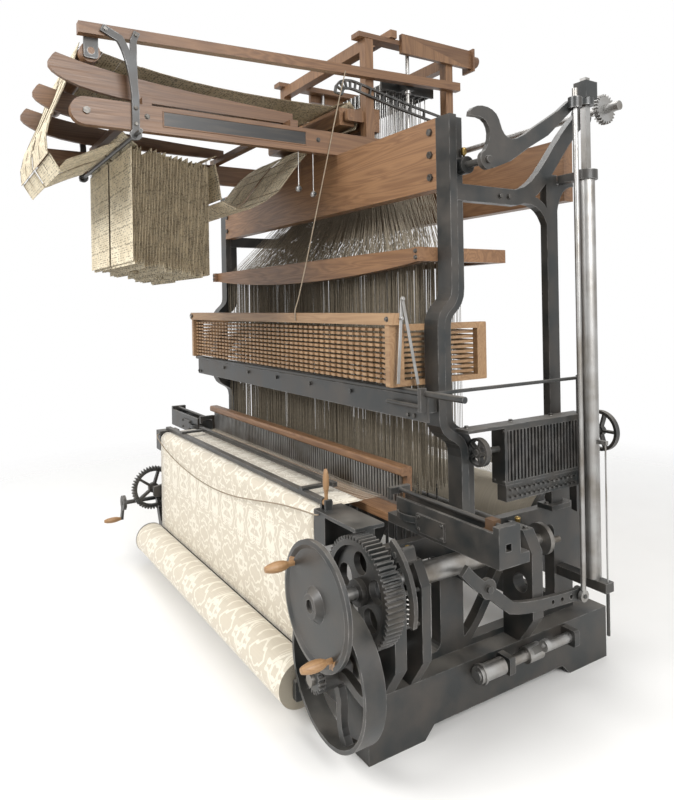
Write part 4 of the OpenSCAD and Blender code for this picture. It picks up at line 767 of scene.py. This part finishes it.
random.seed(7)
shape = bmesh.new()
for row in range(fan_rows):
    for column in range(fan_columns):
        across_part = (column + random.uniform(-0.4, 0.4)) / (fan_columns - 1)
        back_part = (row + random.uniform(-0.3, 0.3)) / (fan_rows - 1)
        top = Vector((machine_x + fan_width * (across_part - 0.5), between(fan_y, back_part), hook_foot))
        knot = Vector((top.x, top.y, knot_z))
        low_x = harness_low[0] + spread_inset + spread * across_part
        low = Vector((low_x, between(board_y, back_part), board_top))
        add_strand(shape, [top, knot, low], cord_radius)
upper_cords = finish_strands("upper_cords", shape, "cord", waxed_cord)
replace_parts(upper_cords, "harness_upper")
shape = bmesh.new()
hung_left = harness_low[0] + hung_inset
hung_width = harness_high[0] - hung_inset - hung_left
for row in range(hung_rows):
    for column in range(hung_columns):
        x = hung_left + hung_width * (column + random.uniform(-0.4, 0.4)) / (hung_columns - 1)
        y = between(hung_y, row / (hung_rows - 1)) + random.uniform(-hung_slip, hung_slip)
        foot = Vector((x + random.uniform(-foot_slip, foot_slip), y, warp_line + hung_slip))
        add_strand(shape, [Vector((x, y, board_foot)), foot], cord_radius)
lower_cords = finish_strands("lower_cords", shape, "cord", waxed_cord)
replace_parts(lower_cords, "harness_lower")

# Pattern cards: punched pasteboard laced into two endless chains. They hang in folds from the
# rod, rise round the square cylinder, run out to the top roller and drop back to the folds.
board_pale = (0.70, 0.62, 0.46, 1)
board_dark = (0.54, 0.46, 0.32, 1)
hole_painted_shade = (0.035, 0.027, 0.018, 1)
# Card edge colours: oil and dirt, made darker still as painted shade.
edge_dirt_and_painted_shade = (0.085, 0.062, 0.038, 1), (0.36, 0.29, 0.19, 1)
card_rows = ((-0.405, -0.015), (0.015, 0.405))
card_pitch = 0.0815
card_gap = 0.0012
card_thickness = 0.0022
holes_per_metre = 95.0
hole_radius = 0.30
holes_left_whole = 0.58
fold_count = 52
fold_y = (-1.1882, -0.850)
fold_top = (2.290, 2.232)
fold_low = (1.800, 1.705)
fold_slip = (-0.022, 0.016)
rod_at = (-1.200, 2.310)
cylinder_at = centre("card_cylinder")[1:]
top_roller_at = centre("top_roller")[1:]


def curve(first, first_pull, last_pull, last, steps):
    points = []
    for t in (i / steps for i in range(steps + 1)):
        s = 1 - t
        points.append(Vector(first) * s ** 3 + Vector(first_pull) * 3 * s ** 2 * t
            + Vector(last_pull) * 3 * s * t ** 2 + Vector(last) * t ** 3)
    return points


def round_arc(middle, radius, start, stop, step):
    angles = (math.radians(a) for a in range(start, stop, step))
    return [Vector(middle) + radius * Vector((math.cos(a), math.sin(a))) for a in angles]


pile_back = [Vector((-0.850, 2.2323))]
pile_back += curve((-0.850, 2.252), (-0.850, 2.292), (-0.812, 2.282), (-0.800, 2.190), 5)
rising = curve((-0.790, 2.120), (-0.760, 2.030), (-0.640, 2.030), (-0.520, 2.130), 8)
rising += curve((-0.470, 2.180), (-0.380, 2.290), (-0.330, 2.380), (-0.200, 2.440), 5)
over_cylinder = round_arc(cylinder_at, 0.0687, -70, 111, 20)
running_out = curve((-0.200, 2.600), (-0.520, 2.590), (-0.960, 2.580), (-1.290, 2.660), 9)
over_roller = round_arc(top_roller_at, 0.0437, 80, 181, 10)
falling = curve((-1.415, 2.600), (-1.450, 2.480), (-1.545, 2.330), (-1.520, 2.240), 6)
falling += curve((-1.490, 2.190), (-1.420, 2.210), (-1.330, 2.270), (-1.228, 2.306), 6)
over_rod = round_arc(rod_at, 0.0118, 140, -1, -20) + [Vector((-1.1882, 2.2903))]
card_path = pile_back + rising + over_cylinder + running_out + over_roller + falling + over_rod

pasteboard, board_tree, board_shader = new_material("punched_pasteboard")
board_uv = board_tree.nodes.new("ShaderNodeTexCoord").outputs["UV"]
cells = along_axes(board_tree, "SCALE", board_uv, scale=holes_per_metre)["Vector"]
chance = board_tree.nodes.new("ShaderNodeTexWhiteNoise")
chance.noise_dimensions = "2D"
feed(board_tree, chance.inputs["Vector"], along_axes(board_tree, "FLOOR", cells)["Vector"])
within_cell = along_axes(board_tree, "FRACTION", cells)["Vector"]
from_cell_middle = along_axes(board_tree, "DISTANCE", within_cell, (0.5, 0.5, 0))["Value"]
# The punched holes are painted near black. This is painted shade, standing for the dark seen through each
# hole.
punched = calculate(board_tree, "MULTIPLY", calculate(board_tree, "LESS_THAN", from_cell_middle, hole_radius),
    calculate(board_tree, "GREATER_THAN", chance.outputs["Value"], holes_left_whole))
thumbed = clouds(board_tree, object_coordinates(board_tree), scale=14, detail=4)
plain_board = mix_colour(board_tree, fit_range(board_tree, thumbed, 0.35, 0.7), board_pale, board_dark)
card_colour = mix_colour(board_tree, punched, plain_board, hole_painted_shade)
feed(board_tree, board_shader.inputs["Base Color"], card_colour)
feed(board_tree, board_shader.inputs["Roughness"], 0.78)
# The cut edges are dark with oil and dirt, and darker still as painted shade: the shade that falls between
# the folds on the near side of the piles is painted into their colour.
board_edge, edge_tree, edge_shader = new_material("pasteboard_edge")
edge_at = mapped(edge_tree, object_coordinates(edge_tree), "Scale", (30, 240, 12))
edge_marks = fit_range(edge_tree, clouds(edge_tree, edge_at, scale=1.0, detail=3), 0.35, 0.68)
feed(edge_tree, edge_shader.inputs["Base Color"], mix_colour(edge_tree, edge_marks, *edge_dirt_and_painted_shade))
feed(edge_tree, edge_shader.inputs["Roughness"], 0.85)

shape = bmesh.new()
uv = shape.loops.layers.uv.new("UVMap")
card_numbers = itertools.count(1)


def add_card(left, right, middle, direction):
    heading = Vector((0, direction.x, direction.y)).normalized()
    facing = Vector((1, 0, 0)).cross(heading)
    place = Matrix(((1, 0, 0, machine_x + (left + right) / 2), (0, heading.y, facing.y, middle.x),
        (0, heading.z, facing.z, middle.y), (0, 0, 0, 1)))
    board = bmesh.ops.create_cube(shape, size=1.0)["verts"]
    bmesh.ops.scale(shape, verts=board, vec=(right - left, card_pitch - card_gap, card_thickness))
    own_holes = 3.1 * next(card_numbers)
    for side in {side for vert in board for side in vert.link_faces}:
        side.material_index = 0 if abs(side.normal.z) > 0.5 else 1
        for corner in side.loops:
            corner[uv].uv = (corner.vert.co.x + own_holes, corner.vert.co.y)
    bmesh.ops.transform(shape, verts=board, matrix=place)


def lay_cards(left, right, path):
    travelled = 0.0
    wanted = card_pitch / 2
    for first, second in zip(path, path[1:]):
        length = (second - first).length
        while wanted <= travelled + length:
            add_card(left, right, first + (second - first) * ((wanted - travelled) / length), second - first)
            wanted += card_pitch
        travelled += length


for left, right in card_rows:
    lay_cards(left, right, card_path)
    for fold in range(fold_count):
        part = fold / (fold_count - 1)
        slip = random.uniform(*fold_slip) if 0 < fold < fold_count - 1 else 0.0
        y, top, low = (between(ends, part) for ends in (fold_y, fold_top, fold_low))
        lay_cards(left, right, [Vector((y, top + slip)), Vector((y, low + slip))])
pattern_cards = finish_piece("pattern_cards", shape, "frame", "card", pasteboard, board_edge)
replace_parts(pattern_cards, "card_chains", "card_piles")

# Card lacing: waxed twine through the end holes of every card, three runs to a chain on each
# face, knotted between one card and the next.
lacing_radius = 0.0014
lacing_stands = 0.0024
lacing_parts = (0.05, 0.5, 0.95)
shape = bmesh.new()
for left, right in card_rows:
    for part in lacing_parts:
        x = machine_x + left + (right - left) * part
        for stands in (lacing_stands, -lacing_stands):
            run = []
            for i, point in enumerate(card_path):
                near = (card_path[min(i + 1, len(card_path) - 1)] - card_path[max(i - 1, 0)]).normalized()
                run.append(Vector((x, point.x - near.y * stands, point.y + near.x * stands)))
            add_strand(shape, run, lacing_radius)
finish_strands("card_lacing", shape, "cord", waxed_cord)

# Stop cord and pull cord: limp waxed line. The stop cord swags along the breast beam from the
# left corner box to the start handle, and the pull cord hangs from the machine to the rack rail.
line_diameter = 0.006
line_colour = spun_thread("waxed_line", (0.34, 0.28, 0.20, 1), (0.16, 0.12, 0.085, 1))
pull_x = 0.3433
swag = [(-1.090, -0.6906, 0.800), (-1.088, -0.704, 0.796), (-1.040, -0.713, 0.782), (-0.900, -0.716, 0.746),
    (-0.700, -0.717, 0.712), (-0.500, -0.717, 0.691), (-0.300, -0.717, 0.681), (-0.110, -0.717, 0.683),
    (0.060, -0.717, 0.695), (0.215, -0.717, 0.714), (0.380, -0.717, 0.741), (0.520, -0.717, 0.766),
    (0.660, -0.716, 0.788), (0.790, -0.713, 0.802), (0.870, -0.706, 0.806), (0.898, -0.700, 0.806),
    (0.900, -0.6906, 0.806)]
pull = [(pull_x, y, z) for y, z in ((-0.170, 2.750), (-0.228, 2.530), (-0.285, 2.300), (-0.340, 2.080),
    (-0.395, 1.860), (-0.450, 1.650), (-0.4733, 1.5788), (-0.4733, 1.530))]


def smooth_route(points, steps=3):
    route = []
    for i, (first, second) in enumerate(zip(points, points[1:])):
        before = points[max(i - 1, 0)]
        after = points[min(i + 2, len(points) - 1)]
        for t in (k / steps for k in range(steps)):
            route.append(0.5 * (2 * first + (second - before) * t
                + (2 * before - 5 * first + 4 * second - after) * t ** 2
                + (3 * first - before - 3 * second + after) * t ** 3))
    return route + [points[-1]]


def hang_line(name, points):
    route = smooth_route([Vector(point) for point in points])
    line = bpy.data.curves.new(name, "CURVE")
    line.dimensions = "3D"
    line.bevel_depth = line_diameter / 2
    line.bevel_resolution = 2
    line.use_fill_caps = True
    spline = line.splines.new("POLY")
    spline.points.add(len(route) - 1)
    for target, point in zip(spline.points, route):
        target.co = (*point, 1)
    line.materials.append(line_colour)
    piece = show(name, line)
    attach(piece, "frame")
    return piece


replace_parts(hang_line("stop_line", swag), "stop_cord")
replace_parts(hang_line("pull_line", pull), "pull_cord")

# Studio: a pale floor that fades into a white surround, two broad soft lamps in front and at the
# side, and a fill above.
floor_shades = (0.80, 0.79, 0.77, 1), (0.84, 0.83, 0.81, 1)
floor_half = 30.0
floor_fade = (2.0, 5.0)
fill_light = 0.45
pale_floor, floor_tree, floor_shader = new_material("pale_floor")
floor_at = object_coordinates(floor_tree)
floor_patches = clouds(floor_tree, floor_at, scale=3, detail=3)
feed(floor_tree, floor_shader.inputs["Base Color"], mix_colour(floor_tree, floor_patches, *floor_shades))
feed(floor_tree, floor_shader.inputs["Roughness"], 0.7)
from_loom = along_axes(floor_tree, "LENGTH", floor_at)["Value"]
faded = fit_range(floor_tree, from_loom, *floor_fade, to_low=1.0, to_high=0.0)
feed(floor_tree, floor_shader.inputs["Alpha"], faded)
floor_shape = bmesh.new()
bmesh.ops.create_grid(floor_shape, x_segments=4, y_segments=4, size=floor_half)
show_shape("studio_floor", floor_shape, pale_floor)

world = bpy.data.worlds.new("studio")
bpy.context.scene.world = world
world.use_nodes = True
sky = world.node_tree
backdrop = sky.nodes["Background"]
rays = sky.nodes.new("ShaderNodeLightPath").outputs
mirrored = calculate(sky, "MAXIMUM", rays["Is Glossy Ray"], rays["Is Transmission Ray"])
seen = calculate(sky, "MAXIMUM", rays["Is Camera Ray"], mirrored)
feed(sky, backdrop.inputs["Color"], (1, 1, 1, 1))
feed(sky, backdrop.inputs["Strength"], calculate(sky, "MULTIPLY_ADD", seen, 1 - fill_light, fill_light))


def add_lamp(name, place, aim, width, power):
    lamp = bpy.data.lights.new(name, "AREA")
    lamp.shape = "RECTANGLE"
    lamp.size = width
    lamp.size_y = width
    lamp.energy = power
    hung = show(name, lamp)
    hung.location = place
    hung.rotation_euler = (Vector(aim) - Vector(place)).to_track_quat("-Z", "Y").to_euler()


add_lamp("key_lamp", (0.2, -6.5, 5.2), aim=(0, -0.2, 1.1), width=3.5, power=520)
add_lamp("side_lamp", (6.0, -0.6, 3.6), aim=(0.6, 0, 1.0), width=3.0, power=300)
add_lamp("top_lamp", (-1.0, 1.0, 7.5), aim=(0, 0, 1.0), width=5.0, power=260)

# Camera: at a standing eye's height by the right front corner, level, with the lens moved down so
# that the uprights stay upright.
eye = (3.07, -1.95, 1.60)
eye_turn = math.radians(57.94)
eye_roll = math.radians(-1.0)
camera_data = bpy.data.cameras.new("drawing_view")
camera_data.lens = 29.79
camera_data.sensor_width = 36.0
camera_data.sensor_fit = "AUTO"
camera_data.shift_y = -0.119
camera = show("drawing_view", camera_data)
camera.matrix_world = (Matrix.Translation(eye) @ Matrix.Rotation(eye_turn, 4, "Z")
    @ Matrix.Rotation(math.radians(90), 4, "X") @ Matrix.Rotation(eye_roll, 4, "Z"))
bpy.context.scene.camera = camera
bpy.context.scene.view_settings.view_transform = "Standard"
